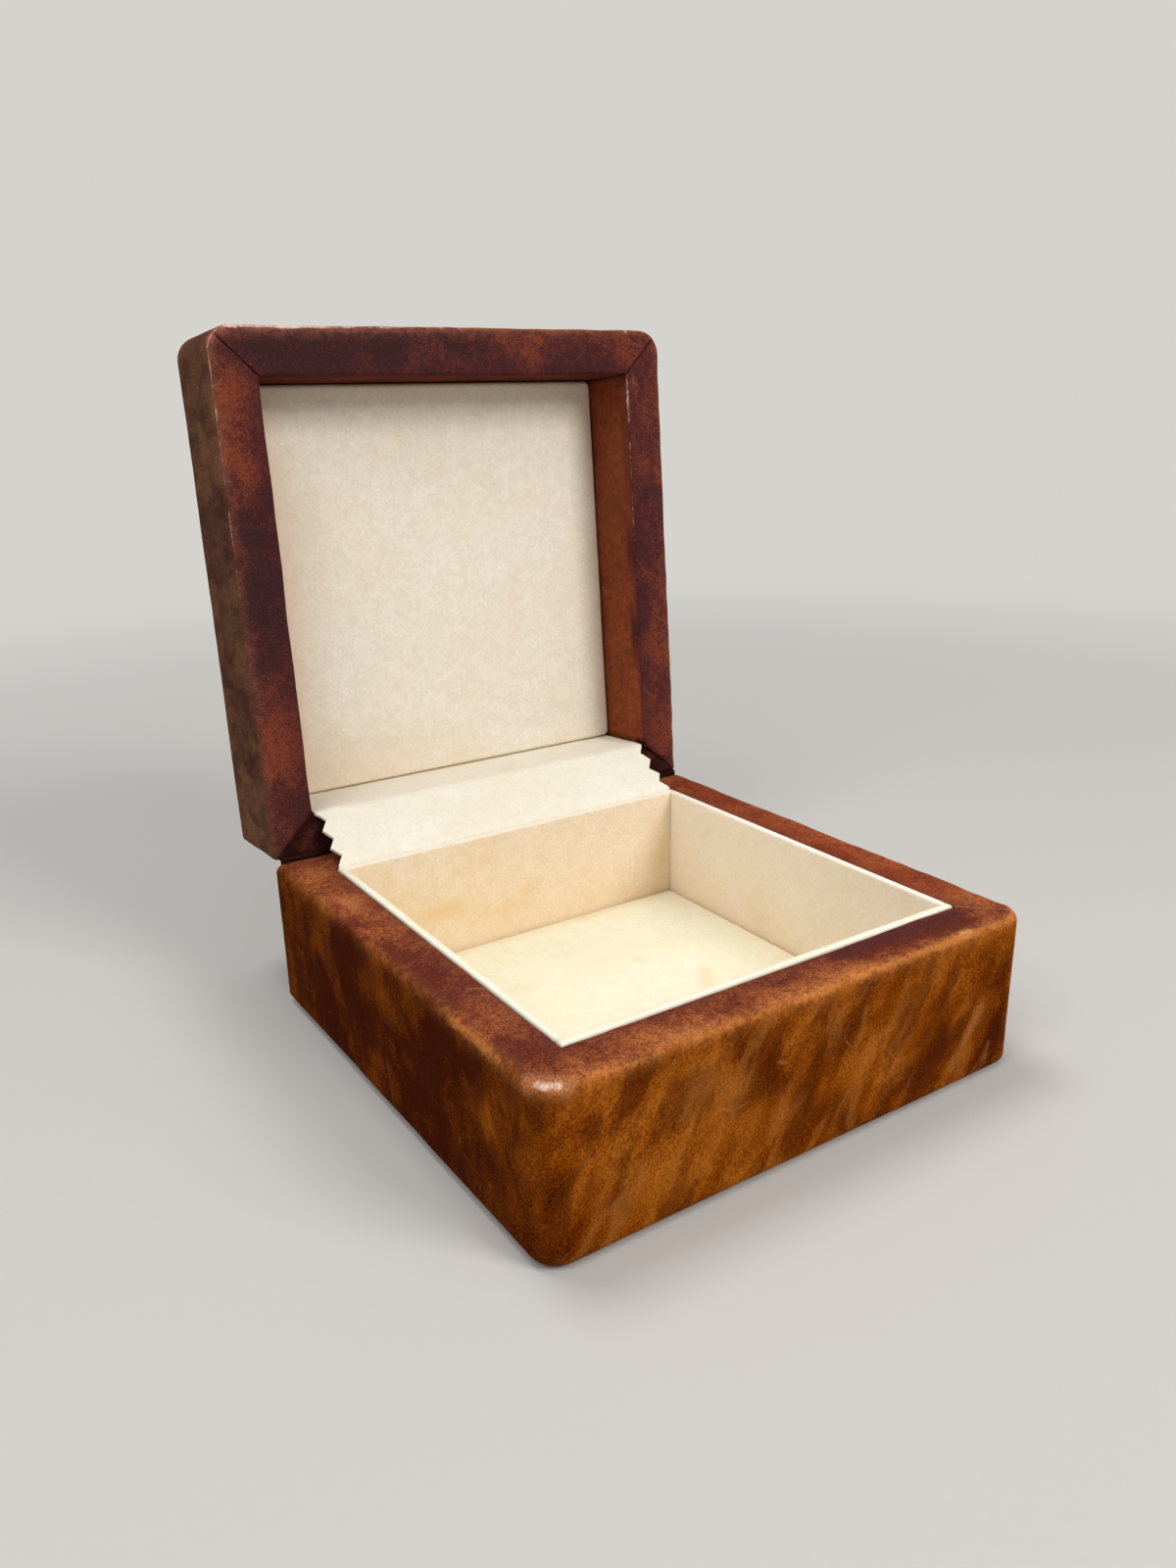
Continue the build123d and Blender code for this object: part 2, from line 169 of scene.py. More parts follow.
class Recipe:
    """Adds nodes to a tree and wires them as they are added."""

    def __init__(self, tree: bpy.types.NodeTree) -> None:
        """Start on an empty tree."""
        self.tree = tree
        tree.nodes.clear()

    def add(self, kind: str, inputs: dict | None = None, **settings: object) -> bpy.types.Node:
        """Add one node.

        Args:
            kind: The node's type name.
            inputs: Values or sockets, by the name or index of the input that they go to.
            **settings: The node's own settings.

        Returns:
            The new node.
        """
        node = self.tree.nodes.new(kind)
        for key, value in settings.items():
            setattr(node, key, value)
        for key, value in (inputs or {}).items():
            if isinstance(value, bpy.types.NodeSocket):
                self.tree.links.new(value, node.inputs[key])
            else:
                node.inputs[key].default_value = value
        return node

    def math(self, operation: str, first: object, second: object = 0.0) -> bpy.types.NodeSocket:
        """Add a Math node and give its result."""
        return self.add("ShaderNodeMath", {0: first, 1: second}, operation=operation).outputs[0]

    def weigh(self, *parts: tuple[object, float]) -> bpy.types.NodeSocket:
        """Add values together, each times its own weight.

        Args:
            *parts: Each value with its weight.

        Returns:
            The sum.
        """
        shares = [self.math("MULTIPLY", part, weight) for part, weight in parts]
        total = shares[0]
        for share in shares[1:]:
            total = self.math("ADD", total, share)
        return total

    def vector(
        self, operation: str, first: object, second: object = None, scale: object = None
    ) -> bpy.types.NodeSocket:
        """Add a Vector Math node.

        Args:
            operation: What the node does.
            first: Its first vector.
            second: Its second vector, where it takes two.
            scale: The number that it multiplies by, where it scales.

        Returns:
            Its result: one number where it measures, and a vector elsewhere.
        """
        given = {0: first, 1: second, "Scale": scale}
        inputs = {key: value for key, value in given.items() if value is not None}
        node = self.add("ShaderNodeVectorMath", inputs, operation=operation)
        return node.outputs["Value" if operation in MEASURES else "Vector"]

    def noise(
        self, vector: bpy.types.NodeSocket, scale: object, detail: float = 3.0, distortion: float = 0.0
    ) -> bpy.types.NodeSocket:
        """Add a Noise node and give its factor."""
        node = self.add(
            "ShaderNodeTexNoise",
            {"Vector": vector, "Scale": scale, "Detail": detail, "Distortion": distortion},
        )
        return node.outputs["Fac"]

    def rise(
        self, value: object, low: object, high: object, start: float = 0.0, end: float = 1.0
    ) -> bpy.types.NodeSocket:
        """Add a smooth step from start at low to end at high, and give its result."""
        inputs = {"Value": value, "From Min": low, "From Max": high, "To Min": start, "To Max": end}
        return self.add("ShaderNodeMapRange", inputs, interpolation_type="SMOOTHSTEP").outputs[0]

    def blend(self, share: object, first: object, second: object) -> bpy.types.NodeSocket:
        """Add a colour mix and give its result."""
        return self.add("ShaderNodeMix", {0: share, 6: first, 7: second}, data_type="RGBA").outputs[2]

    def ramp(self, value: object, stops: Sequence[tuple[float, Colour]]) -> bpy.types.NodeSocket:
        """Add a colour ramp and give its colour.

        Args:
            value: What the ramp reads.
            stops: Each stop's place and colour, in rising order.

        Returns:
            The ramp's colour.
        """
        node = self.add("ShaderNodeValToRGB", {0: value})
        elements = node.color_ramp.elements
        while len(elements) < len(stops):
            elements.new(0.5)
        for element, (place, colour) in zip(elements, stops):
            element.position = place
            element.color = colour
        return node.outputs["Color"]

    def mask(self, name: str) -> bpy.types.NodeSocket:
        """Read one of the masks that a mesh carries."""
        return self.add("ShaderNodeAttribute", attribute_name=name).outputs["Fac"]

    def place(self) -> bpy.types.NodeSocket:
        """Read the place on the object, in its own frame."""
        return self.add("ShaderNodeTexCoord").outputs["Object"]

    def use(self, group: bpy.types.NodeTree, inputs: dict) -> bpy.types.bpy_prop_collection:
        """Place a node group with its own values and give its outputs."""
        return self.add("ShaderNodeGroup", inputs, node_tree=group).outputs


@dataclass(frozen=True)
class Port:
    """One named input or output of a node group."""

    name: str
    kind: str = "NodeSocketFloat"
    value: object = None


PLACE = Port("Vector", "NodeSocketVector")


class Effects:
    """The node groups that several finishes share."""

    def __init__(self) -> None:
        """Build every group once."""
        self.mottle = self._mottle()
        self.grain = self._grain()
        self.wear = self._wear()
        self.hairlines = self._hairlines()
        self.scratch = self._scratch()
        self.nap = self._nap()
        self.growth = self._growth()

    @staticmethod
    def _open(
        name: str, inputs: Iterable[Port], outputs: Iterable[Port]
    ) -> tuple[bpy.types.NodeTree, Recipe, dict, Callable[[dict], None]]:
        """Start a group.

        Args:
            name: The group's name.
            inputs: Its inputs.
            outputs: Its outputs.

        Returns:
            The group, its recipe, its input sockets by name, and a function that wires its outputs.
        """
        tree = bpy.data.node_groups.new(name, "ShaderNodeTree")
        recipe = Recipe(tree)
        for direction, ports in (("INPUT", inputs), ("OUTPUT", outputs)):
            for port in ports:
                socket = tree.interface.new_socket(port.name, in_out=direction, socket_type=port.kind)
                if port.value is not None:
                    socket.default_value = port.value
        arrive = recipe.add("NodeGroupInput")
        leave = recipe.add("NodeGroupOutput")

        def finish(results: dict) -> None:
            """Wire the group's results to its outputs."""
            for key, value in results.items():
                tree.links.new(value, leave.inputs[key])

        return tree, recipe, arrive.outputs, finish

    def _mottle(self) -> bpy.types.NodeTree:
        """Clouds of dye, which may be drawn out along one direction."""
        tree, recipe, given, finish = self._open(
            "Mottle",
            (
                PLACE,
                Port("Lean", "NodeSocketVector", (0.0, 0.0, 1.0)),
                Port("Stretch", value=0.0),
                Port("Scale", value=40.0),
            ),
            (Port("Tone"),),
        )
        along = recipe.vector("DOT_PRODUCT", given["Vector"], given["Lean"])
        shift = recipe.vector(
            "SCALE", given["Lean"], scale=recipe.math("MULTIPLY", along, given["Stretch"])
        )
        place = recipe.vector("SUBTRACT", given["Vector"], shift)
        cloud = recipe.noise(place, given["Scale"], 5.0, 0.5)
        finish({"Tone": recipe.rise(cloud, 0.32, 0.68)})
        return tree

    def _grain(self) -> bpy.types.NodeTree:
        """The fine pebbling and pores of leather."""
        tree, recipe, given, finish = self._open(
            "Leather grain",
            (PLACE, Port("Scale", value=1400.0)),
            (Port("Height"),),
        )
        cells = recipe.add(
            "ShaderNodeTexVoronoi",
            {"Vector": given["Vector"], "Scale": given["Scale"], "Randomness": 1.0},
            feature="SMOOTH_F1",
        ).outputs["Distance"]
        coarse = recipe.noise(given["Vector"], recipe.math("MULTIPLY", given["Scale"], 0.3), 4.0)
        pebble = recipe.math("MULTIPLY", recipe.rise(cells, 0.0, 0.6), 0.5)
        finish({"Height": recipe.math("ADD", pebble, coarse)})
        return tree

    def _wear(self) -> bpy.types.NodeTree:
        """Where an edge shows wear and a painted highlight, broken up by the grain."""
        tree, recipe, given, finish = self._open(
            "Edge wear and highlight",
            (
                PLACE,
                Port("Edge"),
                Port("Amount", value=0.5),
                Port("Scale", value=300.0),
            ),
            (Port("Mask"),),
        )
        patches = recipe.noise(given["Vector"], recipe.math("MULTIPLY", given["Scale"], 0.16), 3.0)
        specks = recipe.noise(given["Vector"], given["Scale"], 5.0)
        rough = recipe.weigh((patches, 0.9), (specks, 0.7))
        total = recipe.math("ADD", given["Edge"], recipe.math("SUBTRACT", rough, 0.8))
        low = recipe.math("SUBTRACT", 1.0, given["Amount"])
        mask = recipe.rise(total, low, recipe.math("ADD", low, 0.35))
        finish({"Mask": recipe.math("MULTIPLY", mask, recipe.rise(given["Edge"], 0.02, 0.2))})
        return tree

    def _hairlines(self) -> bpy.types.NodeTree:
        """Fine scratches in a few patches."""
        tree, recipe, given, finish = self._open(
            "Hairlines",
            (PLACE, Port("Scale", value=60.0), Port("Width", value=0.006)),
            (Port("Mask"),),
        )
        field = recipe.noise(given["Vector"], given["Scale"], 0.0, 0.8)
        off = recipe.math("ABSOLUTE", recipe.math("SUBTRACT", field, 0.5))
        line = recipe.rise(off, 0.0, given["Width"], 1.0, 0.0)
        patch = recipe.noise(given["Vector"], recipe.math("MULTIPLY", given["Scale"], 1.7), 2.0)
        finish({"Mask": recipe.math("MULTIPLY", line, recipe.rise(patch, 0.6, 0.72))})
        return tree

    def _scratch(self) -> bpy.types.NodeTree:
        """One soft line between two places."""
        tree, recipe, given, finish = self._open(
            "Scratch",
            (
                PLACE,
                Port("Start", "NodeSocketVector"),
                Port("Along", "NodeSocketVector"),
                Port("Length", value=0.01),
                Port("Width", value=0.001),
            ),
            (Port("Mask"),),
        )
        away = recipe.vector("SUBTRACT", given["Vector"], given["Start"])
        far = recipe.vector("DOT_PRODUCT", away, given["Along"])
        near = recipe.math("MINIMUM", recipe.math("MAXIMUM", far, 0.0), given["Length"])
        off = recipe.vector("DISTANCE", away, recipe.vector("SCALE", given["Along"], scale=near))
        finish({"Mask": recipe.rise(off, 0.0, given["Width"], 1.0, 0.0)})
        return tree

    def _nap(self) -> bpy.types.NodeTree:
        """The short brushed fibres of suede and felt."""
        tree, recipe, given, finish = self._open(
            "Nap",
            (PLACE, Port("Scale", value=1200.0)),
            (Port("Tone"), Port("Height")),
        )
        fibre = recipe.noise(given["Vector"], given["Scale"], 5.0, 0.6)
        tuft = recipe.noise(given["Vector"], recipe.math("MULTIPLY", given["Scale"], 0.22), 3.0, 0.4)
        both = recipe.weigh((fibre, 0.68), (tuft, 0.32))
        finish({"Tone": recipe.rise(both, 0.34, 0.66), "Height": both})
        return tree

    def _growth(self) -> bpy.types.NodeTree:
        """The growth bands and pores of wood, along X."""
        tree, recipe, given, finish = self._open(
            "Growth",
            (PLACE, Port("Scale", value=120.0)),
            (Port("Tone"), Port("Height")),
        )
        drawn = recipe.vector("MULTIPLY", given["Vector"], (0.12, 1.0, 1.0))
        bands = recipe.add(
            "ShaderNodeTexWave",
            {"Vector": drawn, "Scale": given["Scale"], "Distortion": 6.0, "Detail": 3.0},
            bands_direction="Y",
        ).outputs["Fac"]
        pores = recipe.noise(drawn, recipe.math("MULTIPLY", given["Scale"], 14.0), 3.0)
        tone = recipe.weigh((bands, 0.6), (pores, 0.4))
        finish({"Tone": tone, "Height": tone})
        return tree

    def clouds(self, recipe: Recipe, lean: dict, stretch: float, scale: float) -> bpy.types.NodeSocket:
        """Place the mottle group and give its tone."""
        return recipe.use(self.mottle, {**lean, "Stretch": stretch, "Scale": scale})["Tone"]


# Finishes


def shade(
    recipe: Recipe,
    colour: bpy.types.NodeSocket,
    roughness: object,
    height: bpy.types.NodeSocket,
    depth: float,
    strength: float = 1.0,
) -> bpy.types.Node:
    """Add the shader, its bump and the material's output.

    Args:
        recipe: The material's recipe.
        colour: The surface colour.
        roughness: The surface roughness.
        height: The height that the bump reads.
        depth: How deep the bump is, in metres.
        strength: How strongly the bump shows.

    Returns:
        The Principled shader, for settings of its own.
    """
    bump = recipe.add(
        "ShaderNodeBump", {"Height": height, "Distance": depth, "Strength": strength}
    ).outputs["Normal"]
    shader = recipe.add(
        "ShaderNodeBsdfPrincipled", {"Base Color": colour, "Roughness": roughness, "Normal": bump}
    )
    recipe.add("ShaderNodeOutputMaterial", {"Surface": shader.outputs["BSDF"]})
    return shader


def blank(name: str) -> tuple[bpy.types.Material, Recipe]:
    """Make an empty node material."""
    material = bpy.data.materials.new(name)
    material.use_nodes = True
    return material, Recipe(material.node_tree)


@dataclass(frozen=True)
class Mark:
    """A scratch, a smear, a small spot or a painted highlight at a place of its own, in millimetres."""

    start: tuple[float, float, float]
    end: tuple[float, float, float]
    width: float
    colour: Colour
    strength: float = 0.5

    def mask(self, recipe: Recipe, effects: Effects, place: bpy.types.NodeSocket) -> bpy.types.NodeSocket:
        """How much of the mark each place has.

        Args:
            recipe: The material's recipe.
            effects: The shared node groups.
            place: The place on the piece.

        Returns:
            The share of the mark's colour.
        """
        start, end = Vector(self.start) * MM, Vector(self.end) * MM
        inputs = {
            "Vector": place,
            "Start": tuple(start),
            "Along": tuple((end - start).normalized()),
            "Length": (end - start).length,
            "Width": self.width * MM,
        }
        return recipe.math("MULTIPLY", recipe.use(effects.scratch, inputs)["Mask"], self.strength)


@dataclass(frozen=True)
class Leather:
    """Mottled leather with hand-applied dye: cloudy sides, darker rims, edges with wear and a painted
    highlight, and painted shade where the dark mask asks.
    """

    name: str
    side_stops: tuple[tuple[float, Colour], ...]
    rim_stops: tuple[tuple[float, Colour], ...]
    crown_stops: tuple[tuple[float, Colour], ...] = ()
    streaked: Colour = srgb(160, 98, 42)
    smeared: Colour = srgb(74, 28, 8)
    inner: Colour = srgb(76, 32, 34)
    recess: Colour = srgb(150, 76, 44)
    # The colour of wear on edges and of the painted highlight along them.
    wear_and_highlight: Colour = srgb(198, 124, 64)
    scuff_highlight_colour: Colour = srgb(232, 204, 192)
    seam: Colour = srgb(38, 14, 12)
    shadowed: Colour = srgb(40, 18, 15)
    lean: tuple[float, float, float] = (0.5, 0.16, 0.85)
    wear: float = 0.5
    gloss: float = 0.42
    marks: tuple[Mark, ...] = ()

    def make(self, effects: Effects) -> bpy.types.Material:
        """Build the material.

        Args:
            effects: The shared node groups.

        Returns:
            The material.
        """
        material, recipe = blank(self.name)
        place = recipe.place()
        lean = {"Vector": place, "Lean": self.lean}
        cloud = effects.clouds(recipe, lean, 0.25, 46.0)
        smear = effects.clouds(recipe, lean, 0.45, 150.0)
        fleck = effects.clouds(recipe, lean, 0.1, 2400.0)
        tone = self._tone(recipe, (cloud, 0.34), (smear, 0.26), (fleck, 0.24))
        side = recipe.ramp(tone, self.side_stops)
        if self.crown_stops:
            side = recipe.blend(recipe.mask("crown"), side, recipe.ramp(tone, self.crown_stops))
        side = self._streaks(recipe, effects, side, lean)

        wide = effects.clouds(recipe, lean, 0.0, 70.0)
        spot = effects.clouds(recipe, lean, 0.0, 520.0)
        rim = recipe.ramp(self._tone(recipe, (wide, 0.34), (spot, 0.2), (fleck, 0.3)), self.rim_stops)
        rim = recipe.blend(recipe.math("MULTIPLY", recipe.mask("inner"), 0.5), rim, self.inner)
        recess = recipe.blend(recipe.math("MULTIPLY", spot, 0.45), self.recess, self.inner)
        rim = recipe.blend(recipe.mask("recess"), rim, recess)
        colour = recipe.blend(recipe.mask("rim"), side, rim)

        # The edge band is partly wear and partly a painted highlight along the rounded outer edges.
        edge = recipe.mask("edge")
        soft = recipe.math("MULTIPLY", edge, recipe.rise(spot, 0.1, 0.9, 0.25, 0.6))
        colour = recipe.blend(soft, colour, self.wear_and_highlight)
        wear_and_highlight = recipe.use(
            effects.wear, {"Vector": place, "Edge": edge, "Amount": self.wear, "Scale": 1300.0}
        )["Mask"]
        colour = recipe.blend(recipe.math("MULTIPLY", wear_and_highlight, 0.6), colour, self.wear_and_highlight)
        # The marks hold scratches, smears and spots, and on the base a painted highlight at the near corner.
        for mark in self.marks:
            broken = recipe.rise(fleck, 0.0, 1.0, 0.6, 1.0)
            share = recipe.math("MULTIPLY", mark.mask(recipe, effects, place), broken)
            colour = recipe.blend(share, colour, mark.colour)
        # White wear on the lid's left edge, and a painted highlight along its free edge.
        scuff_and_highlight = recipe.use(
            effects.wear,
            {"Vector": place, "Edge": recipe.mask("scuff_and_highlight"), "Amount": 0.42, "Scale": 900.0},
        )["Mask"]
        colour = recipe.blend(scuff_and_highlight, colour, self.scuff_highlight_colour)
        lines = recipe.use(effects.hairlines, {"Vector": place})["Mask"]
        colour = recipe.blend(recipe.math("MULTIPLY", lines, 0.3), colour, self.wear_and_highlight)
        seam = self._seam(recipe, place)
        colour = recipe.blend(seam, colour, self.seam)
        # Painted shade: nearly black where the dark mask asks, beside the lid's hinge strip and in the hinge
        # leather's fold.
        colour = recipe.blend(recipe.mask("dark"), colour, self.shadowed)
        tint = recipe.rise(fleck, 0.0, 1.0, 0.86, 1.14)
        colour = recipe.vector("SCALE", colour, scale=tint)

        grain = recipe.use(effects.grain, {"Vector": place})["Height"]
        height = recipe.math("SUBTRACT", grain, recipe.math("MULTIPLY", seam, 2.0))
        rough = recipe.math("ADD", recipe.weigh((wear_and_highlight, 0.12), (scuff_and_highlight, 0.12), (fleck, 0.08)), self.gloss)
        shader = shade(recipe, colour, rough, height, 0.00007, 0.6)
        shader.inputs["Specular IOR Level"].default_value = 0.0
        shader.inputs["Coat Weight"].default_value = 0.03
        shader.inputs["Coat Roughness"].default_value = 0.22
        return material

    @staticmethod
    def _tone(recipe: Recipe, *parts: tuple[bpy.types.NodeSocket, float]) -> bpy.types.NodeSocket:
        """Weigh several dyes into one tone, and add the listed patches."""
        return recipe.math("ADD", recipe.math("ADD", recipe.mask("tone"), 0.08), recipe.weigh(*parts))

    def _streaks(
        self, recipe: Recipe, effects: Effects, colour: bpy.types.NodeSocket, lean: dict
    ) -> bpy.types.NodeSocket:
        """Lay pale and dark brushed streaks over the dyed ground.

        Args:
            recipe: The material's recipe.
            effects: The shared node groups.
            colour: The ground.
            lean: The place and the direction of the streaks.

        Returns:
            The streaked colour.
        """
        away = recipe.vector("ADD", lean["Vector"], (0.7, 0.3, 0.2))
        pale = effects.clouds(recipe, lean, 0.72, 210.0)
        dark = effects.clouds(recipe, {**lean, "Vector": away}, 0.6, 150.0)
        colour = recipe.blend(recipe.rise(dark, 0.4, 1.0, 0.0, 0.55), colour, self.smeared)
        patch = recipe.math("ADD", recipe.noise(away, 34.0, 1.0), recipe.mask("tone"))
        share = recipe.rise(pale, 0.4, 1.15, 0.0, 0.5)
        share = recipe.math("MULTIPLY", share, recipe.rise(patch, 0.42, 0.62))
        return recipe.blend(share, colour, self.streaked)

    @staticmethod
    def _seam(recipe: Recipe, place: bpy.types.NodeSocket) -> bpy.types.NodeSocket:
        """The thin line of a mitre on the rim, where the mesh asks for one."""
        split = recipe.add("ShaderNodeSeparateXYZ", {0: place}).outputs
        across = recipe.math("ABSOLUTE", split["X"])
        along = recipe.math("ABSOLUTE", split["Y"])
        off = recipe.math("ABSOLUTE", recipe.math("SUBTRACT", across, along))
        line = recipe.rise(off, 0.00012, 0.0005, 1.0, 0.0)
        return recipe.math("MULTIPLY", line, recipe.mask("seam"))


@dataclass(frozen=True)
class Suede:
    """Pale suede with a short nap and a few old stains, a painted highlight along top edges, and painted
    shade with warm bounce light where the masks ask.
    """

    name: str
    pale: Colour
    deep: Colour
    stain: Colour = srgb(226, 190, 122)
    top_highlight: Colour = srgb(252, 248, 238)
    shade_and_bounce: Colour = srgb(232, 200, 164)
    stains: float = 0.35

    def make(self, effects: Effects) -> bpy.types.Material:
        """Build the material.

        Args:
            effects: The shared node groups.

        Returns:
            The material.
        """
        material, recipe = blank(self.name)
        place = recipe.place()
        nap = recipe.use(effects.nap, {"Vector": place})
        colour = recipe.blend(nap["Tone"], self.deep, self.pale)
        cloud = effects.clouds(recipe, {"Vector": place}, 0.0, 38.0)
        spots = recipe.noise(place, 70.0, 2.0, 0.3)
        stained = recipe.weigh((recipe.rise(spots, 0.6, 0.78), self.stains), (cloud, 0.1))
        stained = recipe.math("ADD", stained, recipe.mask("stain"))
        colour = recipe.blend(stained, colour, self.stain)
        # Painted shade and warm bounce light, where the mask asks.
        colour = recipe.blend(recipe.mask("shade_and_bounce"), colour, self.shade_and_bounce)
        # Painted highlight along a lining's top edge.
        colour = recipe.blend(recipe.mask("top_highlight"), colour, self.top_highlight)
        shader = shade(recipe, colour, 0.95, nap["Height"], 0.00022, 0.55)
        shader.inputs["Specular IOR Level"].default_value = 0.2
        shader.inputs["Sheen Weight"].default_value = 0.12
        shader.inputs["Sheen Roughness"].default_value = 0.6
        return material


@dataclass(frozen=True)
class Timber:
    """Plain or layered wood, which the leather and the linings hide."""

    name: str
    pale: Colour
    dark: Colour
    scale: float = 120.0

    def make(self, effects: Effects) -> bpy.types.Material:
        """Build the material."""
        material, recipe = blank(self.name)
        grown = recipe.use(effects.growth, {"Vector": recipe.place(), "Scale": self.scale})
        colour = recipe.blend(grown["Tone"], self.pale, self.dark)
        shade(recipe, colour, 0.62, grown["Height"], 0.0001, 0.5)
        return material


@dataclass(frozen=True)
class Pulp:
    """Grey-brown card, or the brushed paper under the box."""

    name: str
    pale: Colour
    dark: Colour
    scale: float = 700.0

    def make(self, effects: Effects) -> bpy.types.Material:
        """Build the material."""
        material, recipe = blank(self.name)
        nap = recipe.use(effects.nap, {"Vector": recipe.place(), "Scale": self.scale})
        colour = recipe.blend(nap["Tone"], self.dark, self.pale)
        shade(recipe, colour, 0.92, nap["Height"], 0.00012, 0.5)
        return material


class Wardrobe:
    """Every material of the box."""

    def __init__(self) -> None:
        """Build the shared groups and the materials."""
        effects = Effects()
        self.base_leather = Leather(
            "base_leather",
            side_stops=stops((0.14, 70, 22, 1), (0.48, 125, 60, 4), (0.82, 164, 93, 25)),
            rim_stops=stops((0.2, 94, 42, 32), (0.5, 136, 72, 43), (0.8, 172, 104, 58)),
            inner=srgb(88, 42, 38),
            seam=srgb(190, 124, 84),
            marks=BASE_MARKS,
        ).make(effects)
        self.lid_leather = Leather(
            "lid_leather",
            # The lid's side colours, which only its left side keeps, are painted shade and a painted bluish
            # reflection.
            side_stops=stops((0.2, 72, 43, 33), (0.5, 97, 63, 47), (0.8, 120, 83, 58)),
            rim_stops=stops((0.2, 60, 36, 38), (0.5, 84, 43, 40), (0.8, 122, 60, 42)),
            crown_stops=stops((0.12, 74, 30, 12), (0.5, 112, 58, 20), (0.85, 146, 88, 36)),
            streaked=srgb(116, 80, 54),
            smeared=srgb(58, 34, 27),
            inner=srgb(66, 34, 38),
            wear_and_highlight=srgb(176, 108, 84),
            scuff_highlight_colour=srgb(216, 178, 164),
            wear=0.3,
        ).make(effects)
        self.hinge_leather = Leather(
            "hinge_leather",
            side_stops=stops((0.2, 66, 26, 9), (0.5, 106, 52, 15), (0.8, 138, 82, 32)),
            rim_stops=stops((0.2, 64, 30, 14), (0.8, 100, 52, 22)),
        ).make(effects)
        self.floor_suede = Suede(
            "floor_suede", srgb(243, 238, 215), srgb(235, 229, 202), stains=0.3
        ).make(effects)
        # A darker, warmer copy of the floor suede for the rear lining: painted shade.
        self.rear_shaded_suede = Suede("rear_shaded_suede", srgb(244, 226, 203), srgb(232, 210, 180)).make(effects)
        # A paler copy for the right lining: painted light.
        self.right_lit_suede = Suede(
            "right_lit_suede", srgb(250, 239, 224), srgb(243, 229, 208), stains=0.15
        ).make(effects)
        self.panel_suede = Suede(
            "panel_suede", srgb(246, 238, 224), srgb(233, 223, 205), stains=0.1
        ).make(effects)
        self.strip_suede = Suede(
            "strip_suede", srgb(249, 244, 229), srgb(241, 234, 214), stains=0.1
        ).make(effects)
        self.wood = Timber("box_wood", srgb(196, 158, 112), srgb(150, 108, 68)).make(effects)
        self.plywood = Timber("box_plywood", srgb(206, 176, 132), srgb(170, 132, 88), 260.0).make(effects)
        self.card = Pulp("lining_card", srgb(176, 160, 134), srgb(140, 124, 100)).make(effects)
        self.cover = Pulp("underside_paper", srgb(74, 50, 34), srgb(44, 28, 20)).make(effects)


# Meshes


@dataclass(frozen=True)
class Ring:
    """One loop of a skin: a rounded rectangle at one height."""

    left: float
    right: float
    low: float
    high: float
    radius: float
    z: float
    tight: float | None = None

    @staticmethod
    def square(half: float, radius: float, z: float, tight: float | None = None) -> "Ring":
        """A ring with four equal sides round the middle."""
        return Ring(-half, half, -half, half, radius, z, tight)

    @staticmethod
    def middle(z: float) -> "Ring":
        """A small ring round the middle, where a face closes."""
        return Ring.square(1.0, 0.5, z)

    @staticmethod
    def oblong(half_x: float, half_y: float, radius: float, z: float) -> "Ring":
        """A ring round the middle with its own width and depth."""
        return Ring(-half_x, half_x, -half_y, half_y, radius, z)

    def values(self) -> np.ndarray:
        """The seven numbers of the ring, its height last."""
        tight = self.radius if self.tight is None else self.tight
        return np.array([self.left, self.right, self.low, self.high, self.radius, tight, self.z])


@dataclass(frozen=True)
class Run:
    """A run of rings that leads to the next ring of a skin."""

    to: Ring
    count: int = 1
    bend: Bend = Bend.STRAIGHT

    def rings(self, start: Ring) -> list[Ring]:
        """The rings after start, up to and with the run's last.

        Args:
            start: The ring that the run leaves.

        Returns:
            The new rings.
        """
        first, last = start.values(), self.to.values()
        made = []
        for step in range(1, self.count + 1):
            share = step / self.count
            angle = share * math.pi / 2
            level, steep = share, share
            if self.bend is Bend.LEVEL_FIRST:
                level, steep = math.sin(angle), 1 - math.cos(angle)
            elif self.bend is Bend.STEEP_FIRST:
                level, steep = 1 - math.cos(angle), math.sin(angle)
            left, right, low, high, radius, tight, z = first + (last - first) * ([level] * 6 + [steep])
            made.append(Ring(left, right, low, high, radius, z, tight))
        return made


def chain(start: Ring, runs: Iterable[Run]) -> list[Ring]:
    """Follow runs of rings one after another.

    Args:
        start: The first ring.
        runs: The runs that follow it.

    Returns:
        All the rings.
    """
    rings = [start]
    for run in runs:
        rings.extend(run.rings(rings[-1]))
    return rings


